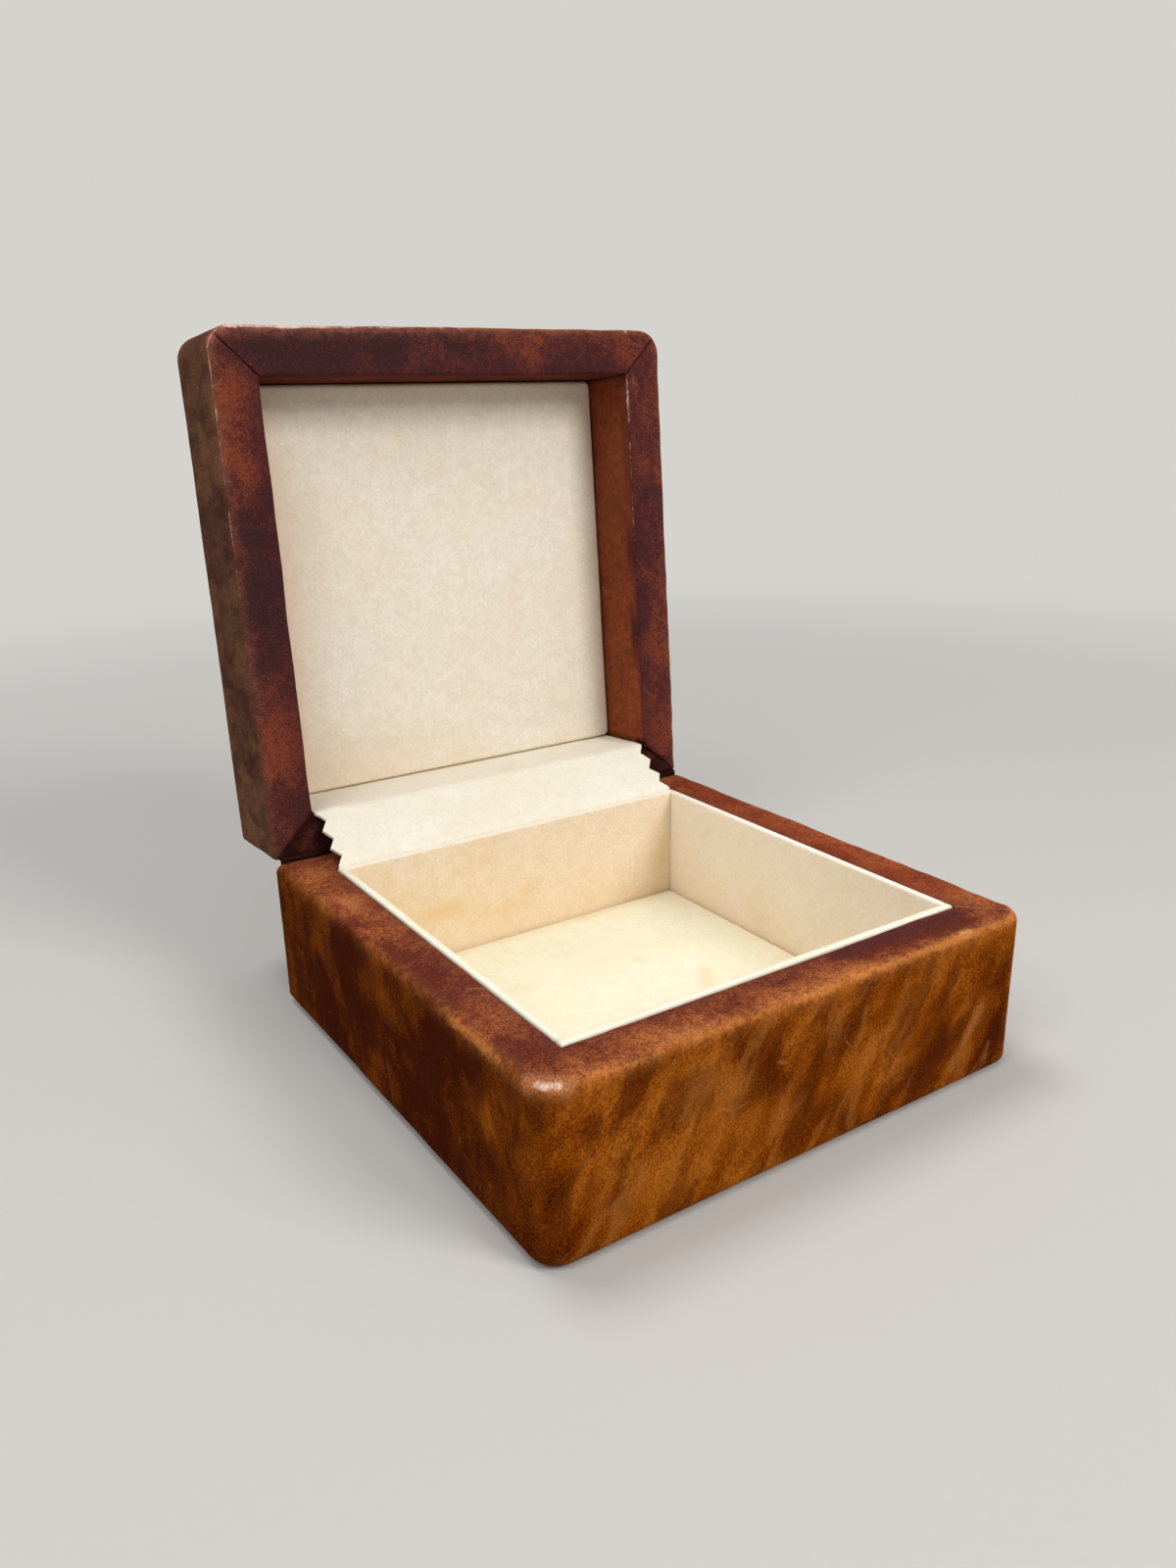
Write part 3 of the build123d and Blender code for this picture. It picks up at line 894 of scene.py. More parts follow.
@dataclass(frozen=True)
class Spread:
    """Where a ring has its points: shares of each straight side and of each corner."""

    straight: tuple[float, ...]
    arc: tuple[float, ...]
    tight_side: Side | None = None

    @staticmethod
    def even(straights: int, arcs: int) -> "Spread":
        """Points at even distances."""
        return Spread(
            tuple(np.linspace(0, 1, straights + 1)), tuple(np.linspace(0, 1, arcs + 1)[1:-1])
        )

    def sides(self) -> np.ndarray:
        """Which side each point of a ring belongs to."""
        owners = []
        for side in Side:
            following = (side.value + 1) % len(Side)
            owners += [side.value] * len(self.straight)
            owners += [side.value if share < 0.5 else following for share in self.arc]
        return np.array(owners)

    def place(self, ring: Ring) -> np.ndarray:
        """The points of a ring, anticlockwise from the low side's left end.

        Args:
            ring: The ring.

        Returns:
            One row for each point.
        """
        radii = np.full(4, ring.radius)
        if self.tight_side is not None and ring.tight is not None:
            radii[[self.tight_side.value, self.tight_side.value - 1]] = ring.tight
        corners = np.array(
            [(ring.right, ring.low), (ring.right, ring.high), (ring.left, ring.high), (ring.left, ring.low)]
        )
        centres = corners + radii[:, None] * np.array([(-1, 1), (-1, -1), (1, -1), (1, 1)])
        points = []
        for side in Side:
            turn = (side.value - 1) * math.pi / 2
            out = np.array([math.cos(turn), math.sin(turn)])
            here, before = side.value, side.value - 1
            start, end = centres[before] + radii[before] * out, centres[here] + radii[here] * out
            points += [start + (end - start) * share for share in self.straight]
            for share in self.arc:
                angle = turn + share * math.pi / 2
                way = np.array([math.cos(angle), math.sin(angle)])
                points.append(centres[here] + radii[here] * way)
        flat = np.array(points)
        return np.column_stack([flat, np.full(len(flat), ring.z)])


@dataclass
class Loft:
    """Rows of points joined into a skin, with its masks."""

    rows: list[np.ndarray]
    closed: bool = False
    capped: bool = False
    masks: dict[str, np.ndarray] | None = None

    def mesh(self, name: str, sharp: float = 50.0) -> bpy.types.Mesh:
        """Make the mesh, in metres.

        Args:
            name: The mesh's name.
            sharp: The angle in degrees above which an edge stays sharp.

        Returns:
            The mesh, with doubled points joined and its faces turned outwards.
        """
        count = len(self.rows[0])
        points = np.vstack(self.rows)
        pairs = len(self.rows) if self.closed else len(self.rows) - 1
        faces = []
        for row in range(pairs):
            here, there = row * count, ((row + 1) % len(self.rows)) * count
            for column in range(count):
                following = (column + 1) % count
                faces.append((here + column, here + following, there + following, there + column))
        if self.capped:
            faces.append(tuple(range(count - 1, -1, -1)))
            last = (len(self.rows) - 1) * count
            faces.append(tuple(range(last, last + count)))
        mesh = bpy.data.meshes.new(name)
        mesh.from_pydata((points * MM).tolist(), [], faces)
        paint(mesh, self.masks or {})
        tidy(mesh, sharp)
        return mesh


def tidy(mesh: bpy.types.Mesh, sharp: float) -> None:
    """Join doubled points, turn the faces outwards and shade them smooth.

    Args:
        mesh: The mesh to work on.
        sharp: The angle in degrees above which an edge stays sharp.
    """
    work = bmesh.new()
    work.from_mesh(mesh)
    bmesh.ops.remove_doubles(work, verts=work.verts, dist=2e-6)
    bmesh.ops.dissolve_degenerate(work, edges=work.edges, dist=1e-7)
    bmesh.ops.recalc_face_normals(work, faces=work.faces)
    work.to_mesh(mesh)
    work.free()
    mesh.shade_smooth()
    mesh.set_sharp_from_angle(angle=math.radians(sharp))
    mesh.update()


def read(mesh: bpy.types.Mesh) -> tuple[np.ndarray, np.ndarray]:
    """Read a mesh's points in millimetres, and its normals."""
    points = np.zeros(len(mesh.vertices) * 3)
    normals = np.zeros(len(mesh.vertices) * 3)
    mesh.vertices.foreach_get("co", points)
    mesh.vertices.foreach_get("normal", normals)
    return points.reshape(-1, 3) / MM, normals.reshape(-1, 3)


def write(mesh: bpy.types.Mesh, points: np.ndarray) -> None:
    """Move a mesh's points, which are given in millimetres."""
    mesh.vertices.foreach_set("co", (points * MM).ravel())
    mesh.update()


def mask_of(mesh: bpy.types.Mesh, name: str) -> np.ndarray:
    """Read one of a mesh's masks."""
    values = np.zeros(len(mesh.vertices), np.float32)
    mesh.attributes[name].data.foreach_get("value", values)
    return values.astype(float)


def paint(mesh: bpy.types.Mesh, masks: dict[str, np.ndarray]) -> None:
    """Write masks onto a mesh."""
    for name, values in masks.items():
        layer = mesh.attributes.get(name) or mesh.attributes.new(name, "FLOAT", "POINT")
        layer.data.foreach_set("value", np.asarray(values, np.float32))


def stand(name: str, data: bpy.types.ID) -> bpy.types.Object:
    """Make an object and link it into the scene.

    Args:
        name: The object's name.
        data: Its mesh, lamp or camera.

    Returns:
        The object.
    """
    item = bpy.data.objects.new(name, data)
    bpy.context.scene.collection.objects.link(item)
    return item


def put(
    name: str,
    mesh: bpy.types.Mesh,
    material: bpy.types.Material,
    matrix: Matrix | None = None,
) -> bpy.types.Object:
    """Make an object of a mesh and give it its finish.

    Args:
        name: The piece's name.
        mesh: Its mesh.
        material: Its material.
        matrix: Where the mesh's own frame lies.

    Returns:
        The object.
    """
    piece = stand(name, mesh)
    mesh.materials.append(material)
    if matrix is not None:
        piece.matrix_world = matrix
    log.info("built %s: %d faces", name, len(mesh.polygons))
    return piece


# The frames that the two halves are drawn in: the middle of each rim, X along the hinge, and Z
# straight out of the opening.


@dataclass(frozen=True)
class Case:
    """The outside sizes that base and lid share, and how the lid stands."""

    half: float = 63.5
    corner: float = 6.0
    hinge_corner: float = 1.3
    opening: float = 52.0
    base_height: float = 38.0
    hinge_z: float = 38.3
    lid_rim: float = 0.3
    open_angle: float = 94.3
    leather_leg: float = 12.0
    leather_half: float = 62.0

    def base_matrix(self) -> Matrix:
        """The base's frame: its rim's middle."""
        return Matrix.Translation((0, 0, self.base_height * MM))

    def lid_point(self, x: float, y: float, z: float) -> tuple[float, float, float]:
        """A point of the closed lid's frame, through the hinge axis, where it lies at rest.

        Args:
            x: Along the hinge.
            y: Towards the closed lid's rear face.
            z: From the closed lid's rim to its top.

        Returns:
            The place of the point, with the lid open.
        """
        lean = math.radians(self.open_angle)
        return (
            x,
            self.half + y * math.cos(lean) + z * math.sin(lean),
            self.hinge_z - y * math.sin(lean) + z * math.cos(lean),
        )

    def lid_matrix(self) -> Matrix:
        """The lid's frame: its rim's middle, Y towards its free edge."""
        lean = math.radians(self.open_angle)
        matrix = Matrix(
            (
                (1, 0, 0, 0),
                (0, -math.cos(lean), -math.sin(lean), 0),
                (0, math.sin(lean), -math.cos(lean), 0),
                (0, 0, 0, 1),
            )
        )
        matrix.translation = Vector(self.lid_point(0, -self.half, self.lid_rim)) * MM
        return matrix

    def inset(self, points: np.ndarray, hinge_way: int) -> np.ndarray:
        """How far each point lies in from the case's rounded outline.

        Args:
            points: The points.
            hinge_way: The sign of Y at the hinge, where the corners are tighter.

        Returns:
            The distances.
        """
        corner = np.where(points[:, 1] * hinge_way > 0, self.hinge_corner, self.corner)
        over = np.abs(points[:, :2]) - (self.half - corner)[:, None]
        out = np.linalg.norm(np.maximum(over, 0), axis=1) + np.minimum(over.max(axis=1), 0)
        return corner - out

    def ring(self, inside: float, z: float) -> Ring:
        """A ring at some distance inside the outline, at one height."""
        half, corner = self.half - inside, self.corner - inside
        return Ring.square(half, corner, z, max(self.hinge_corner - inside, 0.3))


@dataclass(frozen=True)
class Patch:
    """A soft patch that is lighter or darker than its surroundings: hand-applied dye, a stain, or painted
    shade and bounce light, by where it is used.
    """

    centre: tuple[float, float, float]
    size: tuple[float, float, float]
    tone: float

    def at(self, points: np.ndarray) -> np.ndarray:
        """How much of the patch each point has."""
        away = (points - np.array(self.centre)) / np.array(self.size)
        return self.tone * np.exp(-(away**2).sum(axis=1))


def patch_tone(patches: Iterable[Patch], points: np.ndarray) -> np.ndarray:
    """The tone that patches give each point together."""
    return sum((patch.at(points) for patch in patches), np.zeros(len(points)))


@dataclass
class Wrap(ABC):
    """What the leather of the base and of the lid have in common."""

    case: Case
    spread_straights: int = 92
    spread_arcs: int = 16
    rim_round: float = 2.4
    slack: float = 0.97
    seat: float = 62.6
    seat_back: float = 62.52
    hinge_side: Side = Side.HIGH
    wall_depth: float = 32.6
    inner_round: float = 0.5
    long_wave: float = 0.09
    short_wave: float = 0.03
    edge_wave: float = 0.1
    sunk: float = 0.05
    mouth_inset: float = 11.2
    mouth_sway: float = 0.2
    mouth_reach: float = 4.0
    rim_reach: float = 5.0
    edge_reach: float = 6.0
    seam_from: float = 40.0
    closed: bool = False
    patches: tuple[Patch, ...] = ()
    seed: int = 1

    def spread(self) -> Spread:
        """Ring points at even distances, with close pairs at the hinge leather's ends and the mitres."""
        even = Spread.even(self.spread_straights, self.spread_arcs)
        reach = self.case.half - self.case.hinge_corner
        ends = {(x + reach) / (2 * reach) for e in (-1, 1) for x in self._pair(e * self.case.leather_half)}
        arcs = {share for share in even.arc if share != 0.5}
        arcs |= {0.5 + off for off in (-0.035, -0.005, 0.005, 0.035)}
        return Spread(tuple(sorted(set(even.straight) | ends)), tuple(sorted(arcs)), self.hinge_side)

    def inset(self, points: np.ndarray) -> np.ndarray:
        """How far each point lies in from the outline."""
        return self.case.inset(points, 1 if self.hinge_side is Side.HIGH else -1)

    @staticmethod
    def _pair(value: float, apart: float = 0.05) -> tuple[float, float]:
        """Two places close on either side of a value."""
        return value - apart, value + apart

    def seated(self, points: np.ndarray, sides: np.ndarray, back: bool) -> np.ndarray:
        """Sink the skin where the outer hinge leather is let in.

        Args:
            points: One ring's points.
            sides: The side of each.
            back: Whether the ring lies on the skin's inner face.

        Returns:
            The points, pressed in where the hinge leather lies.
        """
        depth = self.seat_back if back else self.seat
        here = (sides == self.hinge_side.value) & (np.abs(points[:, 0]) < self.case.leather_half)
        here &= points[:, 2] > -self.case.leather_leg
        points[here, 1] = np.clip(points[here, 1], -depth, depth)
        return points

    def along_edge(self, points: np.ndarray) -> np.ndarray:
        """How far each point lies from the rim's outer edge: above 0 on the rim, below 0 on the side."""
        return (self.inset(points) + points[:, 2]) / math.sqrt(2)

    def soften(self, mesh: bpy.types.Mesh) -> None:
        """Give the skin the slight unevenness of leather glued over wood.

        Args:
            mesh: The skin, with its outside mask.
        """
        points, normals = read(mesh)
        outside = mask_of(mesh, "outside")
        inset = self.inset(points)
        edge = bell(self.along_edge(points), 0.0, 1.8) * (points[:, 2] > -self.edge_reach)
        rise = self.long_wave * ripple(points, 34, self.seed)
        rise += self.short_wave * ripple(points, 8, self.seed + 1)
        rise += self.edge_wave * edge * ripple(points, 9, self.seed + 2) - self.sunk
        points += normals * (rise * outside)[:, None]
        mouth = bell(inset, self.mouth_inset, 1.4) * outside * (points[:, 2] > -self.mouth_reach)
        middle = np.maximum(np.linalg.norm(points[:, :2], axis=1), 1)
        sway = self.mouth_sway * mouth * (1 + ripple(points, 13, self.seed + 3))
        points[:, :2] += points[:, :2] / middle[:, None] * sway[:, None]
        write(mesh, points)

    def finish(self, mesh: bpy.types.Mesh, seams: dict[tuple[int, int], float]) -> None:
        """Write the masks that the leather's material reads.

        Args:
            mesh: The finished skin.
            seams: How strongly the mitre shows at each corner, by the signs of its X and Y.
        """
        points, _ = read(mesh)
        z = points[:, 2]
        inset = self.inset(points)
        along = self.along_edge(points)
        rim = ease(along, -1.2, 1.4) * (z > -self.rim_reach)
        recess = ease(inset, 11.0, 11.6) * ease(-z, 0.2, 0.9) * (z > -self.wall_depth - 0.8)
        rim = np.maximum(rim, recess)
        # The recess wall on the high Y side keeps the darker rim colours: painted shade on the lid's top
        # wall, which faces down with the lid open.
        recess *= 1 - 0.8 * ease(points[:, 1], 50.5, 51.5)
        edge = bell(along, -0.2, 1.6) * (z > -self.edge_reach)
        seam = np.zeros(len(points))
        for (sign_x, sign_y), strength in seams.items():
            here = (points[:, 0] * sign_x > self.seam_from) & (points[:, 1] * sign_y > self.seam_from)
            seam += strength * here
        seam *= rim * (1 - recess) * ease(inset, 0.5, 1.5)
        paint(
            mesh,
            {
                "rim": rim,
                "recess": recess,
                "edge": edge * self.wear_and_highlight_strength(points),
                "inner": ease(inset, 5.0, 11.0) * rim,
                "seam": seam,
                "tone": patch_tone(self.patches, points),
                "scuff_and_highlight": self.scuffs_and_highlights(points, along),
                "dark": self.painted_shade(points) * rim,
                "crown": self.crowned(points),
            },
        )

    def crowned(self, points: np.ndarray) -> np.ndarray:
        """Where the top takes its own colours."""
        return np.zeros(len(points))

    def painted_shade(self, points: np.ndarray) -> np.ndarray:
        """Where painted shade makes the leather nearly black."""
        return np.zeros(len(points))

    def scuffs_and_highlights(self, points: np.ndarray, along: np.ndarray) -> np.ndarray:
        """Where the finish shows white wear, and where a painted highlight lies on an edge."""
        return np.zeros(len(points))

    @abstractmethod
    def wear_and_highlight_strength(self, points: np.ndarray) -> np.ndarray:
        """How strongly the outer edge shows wear and a painted highlight from place to place."""

    @abstractmethod
    def rings(self) -> tuple[list[Ring], list[bool]]:
        """The rings of the skin, and whether each lies on its outer face."""

    def hinged(self, points: np.ndarray, sides: np.ndarray, ring: Ring) -> np.ndarray:
        """One ring's points, moved where the hinge needs it."""
        return points

    def skin(
        self, name: str, material: bpy.types.Material, matrix: Matrix, seams: dict[tuple[int, int], float]
    ) -> bpy.types.Object:
        """Build the skin.

        Args:
            name: The piece's name.
            material: The leather.
            matrix: The frame that it is drawn in.
            seams: How strongly the mitre shows at each corner, by the signs of its X and Y.

        Returns:
            The skin.
        """
        spread = self.spread()
        sides = spread.sides()
        rings, outer = self.rings()
        rows = []
        for ring, shown in zip(rings, outer):
            row = self.hinged(spread.place(ring), sides, ring)
            rows.append(self.seated(row, sides, not shown))
        outside = np.repeat(np.array(outer, float), len(sides))
        mesh = Loft(rows, self.closed, not self.closed, {"outside": outside}).mesh(name)
        self.soften(mesh)
        self.finish(mesh, seams)
        return put(name, mesh, material, matrix)


@dataclass
class BaseWrap(Wrap):
    """The base's leather: outside, rim, inside of the walls, and turned under the foot."""

    foot_round: float = 2.0
    height: float = 37.2
    window: float = 50.5
    closed: bool = True

    def rings(self) -> tuple[list[Ring], list[bool]]:
        """The rings of the skin: inside the wall, over the rim, under the foot, and back behind.

        Returns:
            The rings, and whether each lies on the outer face.
        """
        case, skin = self.case, self.slack
        upper, lower = self._pair(-case.leather_leg)[::-1]
        outer = chain(
            Ring.square(case.opening, 0.3, -self.wall_depth),
            (
                Run(Ring.square(case.opening, 0.3, -self.inner_round), 10),
                Run(Ring.square(case.opening + self.inner_round, 0.35, 0), 4, Bend.STEEP_FIRST),
                Run(case.ring(self.rim_round, 0), 14),
                Run(case.ring(0, -self.rim_round), 9, Bend.LEVEL_FIRST),
                Run(case.ring(0, upper), 9),
                Run(case.ring(0, lower)),
                Run(case.ring(0, -self.height + self.foot_round), 20),
                Run(case.ring(self.foot_round, -self.height), 7, Bend.STEEP_FIRST),
                Run(Ring.square(self.window, 1, -self.height), 6),
            ),
        )
        back = chain(
            Ring.square(self.window, 1, -self.height + skin),
            (
                Run(case.ring(self.foot_round, -self.height + skin), 3),
                Run(case.ring(skin, -self.height + self.foot_round), 4, Bend.LEVEL_FIRST),
                Run(case.ring(skin, lower), 4),
                Run(case.ring(skin, upper)),
                Run(case.ring(skin, -self.rim_round), 4),
                Run(case.ring(self.rim_round, -skin), 4, Bend.STEEP_FIRST),
                Run(Ring.square(case.opening + skin, 0.3, -skin), 5),
                Run(Ring.square(case.opening + skin, 0.3, -self.wall_depth), 6),
            ),
        )
        return outer + back, [True] * len(outer) + [False] * len(back)

    def wear_and_highlight_strength(self, points: np.ndarray) -> np.ndarray:
        """The front edge shows the most wear and painted highlight, and the left one near the front corner.
        """
        x, y, _ = points.T
        front = ease(-y, 50, 60) * (0.62 + 0.25 * ease(x, -40, 20))
        left = ease(-x, 50, 60) * (0.3 + 0.45 * ease(-y, 0, 40))
        return np.maximum(np.maximum(front, left), 0.35) + 0.2 * ripple(points, 22, self.seed + 4)

    def build(self, material: bpy.types.Material) -> None:
        """Build the skin on the base.

        Args:
            material: The leather.
        """
        skin = self.skin("base_leather_skin", material, self.case.base_matrix(), {(1, -1): 0.45})
        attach(skin, Body.BASE.value)
        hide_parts("base_leather")


@dataclass
class LidWrap(Wrap):
    """The lid's leather: outside, top, rim, and into the recess on all sides but the hinge's."""

    rim_round: float = 1.6
    top_round: float = 4.4
    height: float = 28.0
    wall_depth: float = 22.0
    rear_edge: float = 54.0
    fold_room: float = 1.2
    fold_start: float = 62.0
    hinge_side: Side = Side.LOW

    def _mouth(self, grow: float, z: float) -> Ring:
        """A ring round the recess, which is longer towards the hinge."""
        reach = self.case.opening + grow
        return Ring(-reach, reach, -self.rear_edge - 0.02 * (grow > 0.6), reach, 0.3, z)

    def rings(self) -> tuple[list[Ring], list[bool]]:
        """The rings of the skin, from the middle of its inner face to the middle of its top.

        Returns:
            The rings, and whether each lies on the outer face.
        """
        case, skin = self.case, self.slack
        upper, lower = self._pair(-case.leather_leg)[::-1]
        back = chain(
            Ring.square(0.8, 0.3, -self.height + skin),
            (
                Run(case.ring(self.top_round, -self.height + skin), 6),
                Run(case.ring(skin, -self.height + self.top_round), 6, Bend.LEVEL_FIRST),
                Run(case.ring(skin, lower), 3),
                Run(case.ring(skin, upper)),
                Run(case.ring(skin, -self.rim_round), 3),
                Run(case.ring(self.rim_round, -skin), 3, Bend.STEEP_FIRST),
                Run(self._mouth(skin, -skin), 6),
                Run(self._mouth(skin, -self.wall_depth), 6),
            ),
        )
        outer = chain(
            self._mouth(0, -self.wall_depth),
            (
                Run(self._mouth(0, -self.inner_round), 14),
                Run(self._mouth(self.inner_round, 0), 4, Bend.STEEP_FIRST),
                Run(case.ring(self.rim_round, 0), 14),
                Run(case.ring(0, -self.rim_round), 7, Bend.LEVEL_FIRST),
                Run(case.ring(0, upper), 10),
                Run(case.ring(0, lower)),
                Run(case.ring(0, -self.height + self.top_round), 10),
                Run(case.ring(self.top_round, -self.height), 10, Bend.STEEP_FIRST),
                Run(Ring.square(0.8, 0.3, -self.height), 40),
            ),
        )
        return back + outer, [False] * len(back) + [True] * len(outer)

    def hinged(self, points: np.ndarray, sides: np.ndarray, ring: Ring) -> np.ndarray:
        """Cut the skin short in the recess at the hinge, and bevel the rim there for the folded strip.

        Args:
            points: One ring's points.
            sides: The side of each.
            ring: The ring.

        Returns:
            The points, moved on the hinge's side.
        """
        if ring.z < -self.wall_depth - 0.5 or ring.low < -self.fold_start - 0.6:
            return points
        here = sides == self.hinge_side.value
        if ring.low > -self.rear_edge - 0.1:
            points[here, 2] = np.maximum(points[here, 2], -self.slack)
        drop = self.fold_room * np.clip(
            (points[here, 1] + self.fold_start) / (self.fold_start - self.rear_edge), 0, 1
        )
        points[here, 2] -= drop
        return points

    def wear_and_highlight_strength(self, points: np.ndarray) -> np.ndarray:
        """The free edge shows the most wear and painted highlight, near the left corner."""
        x, y, _ = points.T
        free = ease(y, 50, 60) * (0.35 + 0.6 * ease(-x, -10, 55))
        return np.maximum(free, 0.28) + 0.14 * ripple(points, 20, self.seed + 4)

    def scuffs_and_highlights(self, points: np.ndarray, along: np.ndarray) -> np.ndarray:
        """A broken white line of wear down the left rim's outer edge, a painted pink highlight along the free
        edge, and a pale line on the right side of the recess's mouth.
        """
        x, y, z = points.T
        left = (x < -55) * ease(y, -30, 10) * (0.78 + 0.14 * ripple(points, 12, self.seed + 7))
        left *= bell(along, -0.1, 0.3) * (z > -self.rim_reach)
        # Painted pink highlight along the free edge.
        free = (y > 55) * (0.48 + 0.42 * ease(-x, -20, 55)) * ease(x, -62, -57)
        free *= bell(along, -0.2, 1.0) * (z > -self.rim_reach)
        mouth = 0.7 * bell(x, self.case.opening + 0.2, 0.35) * (z > -0.6) * ease(y, -20, 0)
        return np.maximum(left, free) + mouth

    def crowned(self, points: np.ndarray) -> np.ndarray:
        """The lid's top and every side but the left take the warm colours of the base's sides; the left side
        keeps dull grey side colours as painted shade and a painted bluish reflection.
        """
        top = ease(-points[:, 2], self.height - self.top_round, self.height - 1)
        return np.maximum(top, ease(points[:, 0], -61, -54))

    def painted_shade(self, points: np.ndarray) -> np.ndarray:
        """Painted shade: the rim beside the hinge strip is nearly black, up to the mitres."""
        beyond = -points[:, 1] - np.abs(points[:, 0])
        return ease(beyond, -0.3, 0.3) * (0.8 + 0.2 * ripple(points, 7, self.seed + 6))

    def build(self, material: bpy.types.Material) -> None:
        """Build the skin on the lid.

        Args:
            material: The leather.
        """
        seams = {(-1, 1): 1.0, (1, 1): 0.8}
        skin = self.skin("lid_leather_skin", material, self.case.lid_matrix(), seams)
        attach(skin, Body.LID.value)
        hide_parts("lid_leather")


@dataclass
class Pad:
    """Suede drawn over a thin pad and a card: the well's floor, or the lid's panel."""

    name: str
    half_x: float
    half_y: float
    card: float
    padding: float
    crown: float
    corner: float = 1.6
    edge: float = 1.1
    suede: float = 0.8
    fit: float = 0.04
    voxel: float = 2.0
    grid: int = 72
    seed: int = 20
    spots: tuple[Patch, ...] = ()
    # Patches of painted shade and warm bounce light.
    glow: tuple[Patch, ...] = ()
    pressure: float = 4.0
    frames: int = 20
    smoothings: int = 4
    read_share: float = 0.985
    sunk: float = 0.1
    long_wave: float = 0.08
    short_wave: float = 0.03

    def build(
        self, material: bpy.types.Material, matrix: Matrix, body: Body, replaced: Sequence[str]
    ) -> None:
        """Build the pad.

        Args:
            material: The suede.
            matrix: The frame of the pad's underside.
            body: The body that it rides on.
            replaced: The nodes that it stands for.
        """
        height = self.card + self.padding + self.suede
        skin = self.suede - self.fit
        under = self.card + self.fit
        rings = chain(
            Ring.middle(under),
            (
                Run(self.ring(skin, under), 6),
                Run(self.ring(skin, 0), 2),
                Run(self.ring(0, 0)),
                Run(self.ring(0, height - self.edge), 3),
                Run(self.ring(self.edge, height), 8, Bend.STEEP_FIRST),
                Run(Ring.middle(height), 60),
            ),
        )
        spread = Spread.even(90, 10)
        mesh = Loft([spread.place(ring) for ring in rings], capped=True).mesh(self.name)
        points, _ = read(mesh)
        share = ease(points[:, 2], height - self.edge, height)
        rise = self.swollen(points, height)
        waves = self.long_wave * ripple(points, 26, self.seed)
        waves += self.short_wave * ripple(points, 7, self.seed + 1)
        points[:, 2] += share * (rise - self.sunk + waves)
        write(mesh, points)
        self.dress(mesh, points)
        pad = put(self.name, mesh, material, matrix)
        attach(pad, body.value)
        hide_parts(*replaced)

    def ring(self, inside: float, z: float) -> Ring:
        """A ring at some distance inside the pad's outline, at one height."""
        return Ring.oblong(self.half_x - inside, self.half_y - inside, self.corner - inside, z)

    def swollen(self, points: np.ndarray, height: float) -> np.ndarray:
        """Blow a copy of the pad up as cloth, and read how far its face rises.

        Args:
            points: The places to read the rise at.
            height: The height of the flat pad.

        Returns:
            The rise at each place, at most the crown's height.
        """
        form = (self.ring(0, 0), self.ring(0, height - self.edge), self.ring(self.edge, height))
        spread = Spread.even(20, 3)
        plain = Loft([spread.place(ring) for ring in form], capped=True).mesh(f"{self.name}_blown")
        blown = stand(f"{self.name}_blown", plain)
        remesh = blown.modifiers.new("remesh", "REMESH")
        remesh.mode = "VOXEL"
        remesh.voxel_size = self.voxel * MM
        cut = bpy.data.meshes.new_from_object(blown.evaluated_get(bpy.context.evaluated_depsgraph_get()))
        blown.modifiers.clear()
        blown.data = cut
        flat, _ = read(cut)
        held = blown.vertex_groups.new(name="held")
        held.add([int(i) for i in np.flatnonzero(flat[:, 2] < height - self.edge)], 1.0, "REPLACE")
        cloth = blown.modifiers.new("cloth", "CLOTH")
        cloth.settings.use_pressure = True
        cloth.settings.uniform_pressure_force = self.pressure
        cloth.settings.effector_weights.gravity = 0
        cloth.settings.vertex_group_mass = held.name
        cloth.point_cache.frame_end = self.frames
        for moment in range(1, self.frames + 1):
            bpy.context.scene.frame_set(moment)
        evaluated = blown.evaluated_get(bpy.context.evaluated_depsgraph_get())
        tree = BVHTree.FromObject(evaluated, bpy.context.evaluated_depsgraph_get())
        shares = np.linspace(-self.read_share, self.read_share, self.grid)
        rise = np.zeros((self.grid, self.grid))
        above, down = 100.0, Vector((0, 0, -1))
        for row, x in enumerate(shares * self.half_x):
            for column, y in enumerate(shares * self.half_y):
                hit = tree.ray_cast(Vector((x, y, above)) * MM, down)[0]
                rise[row, column] = 0.0 if hit is None else max(hit.z / MM - height, 0.0)
        bpy.context.scene.frame_set(1)
        bpy.data.objects.remove(blown)
        for spare in (cut, plain):
            bpy.data.meshes.remove(spare)
        log.info("%s swelled by %.2f mm, capped at %.2f mm", self.name, rise.max(), self.crown)
        return self.sampled(self.crown * np.tanh(rise / self.crown), points)

    def sampled(self, grid: np.ndarray, points: np.ndarray) -> np.ndarray:
        """Smooth a grid of rises and read it between its places.

        Args:
            grid: The rises, over the whole pad.
            points: The places to read them at.

        Returns:
            The rise at each place.
        """
        for _ in range(self.smoothings):
            wide = np.pad(grid, 1, mode="edge")
            grid = (wide[:-2, 1:-1] + wide[2:, 1:-1] + wide[1:-1, :-2] + wide[1:-1, 2:] + 4 * grid) / 8
        last = self.grid - 1
        u = np.clip((points[:, 0] / self.half_x / self.read_share + 1) / 2 * last, 0, last - 1e-6)
        v = np.clip((points[:, 1] / self.half_y / self.read_share + 1) / 2 * last, 0, last - 1e-6)
        row, column = u.astype(int), v.astype(int)
        du, dv = u - row, v - column
        near = grid[row, column] * (1 - dv) + grid[row, column + 1] * dv
        far = grid[row + 1, column] * (1 - dv) + grid[row + 1, column + 1] * dv
        return near * (1 - du) + far * du

    def dress(self, mesh: bpy.types.Mesh, points: np.ndarray) -> None:
        """Write the masks that the suede's material reads."""
        rim = np.minimum(self.half_x - np.abs(points[:, 0]), self.half_y - np.abs(points[:, 1]))
        # Yellower within a few millimetres of the pad's edges, and at the listed spots.
        stain = 0.2 * np.exp(-rim / 2.5) + patch_tone(self.spots, points)
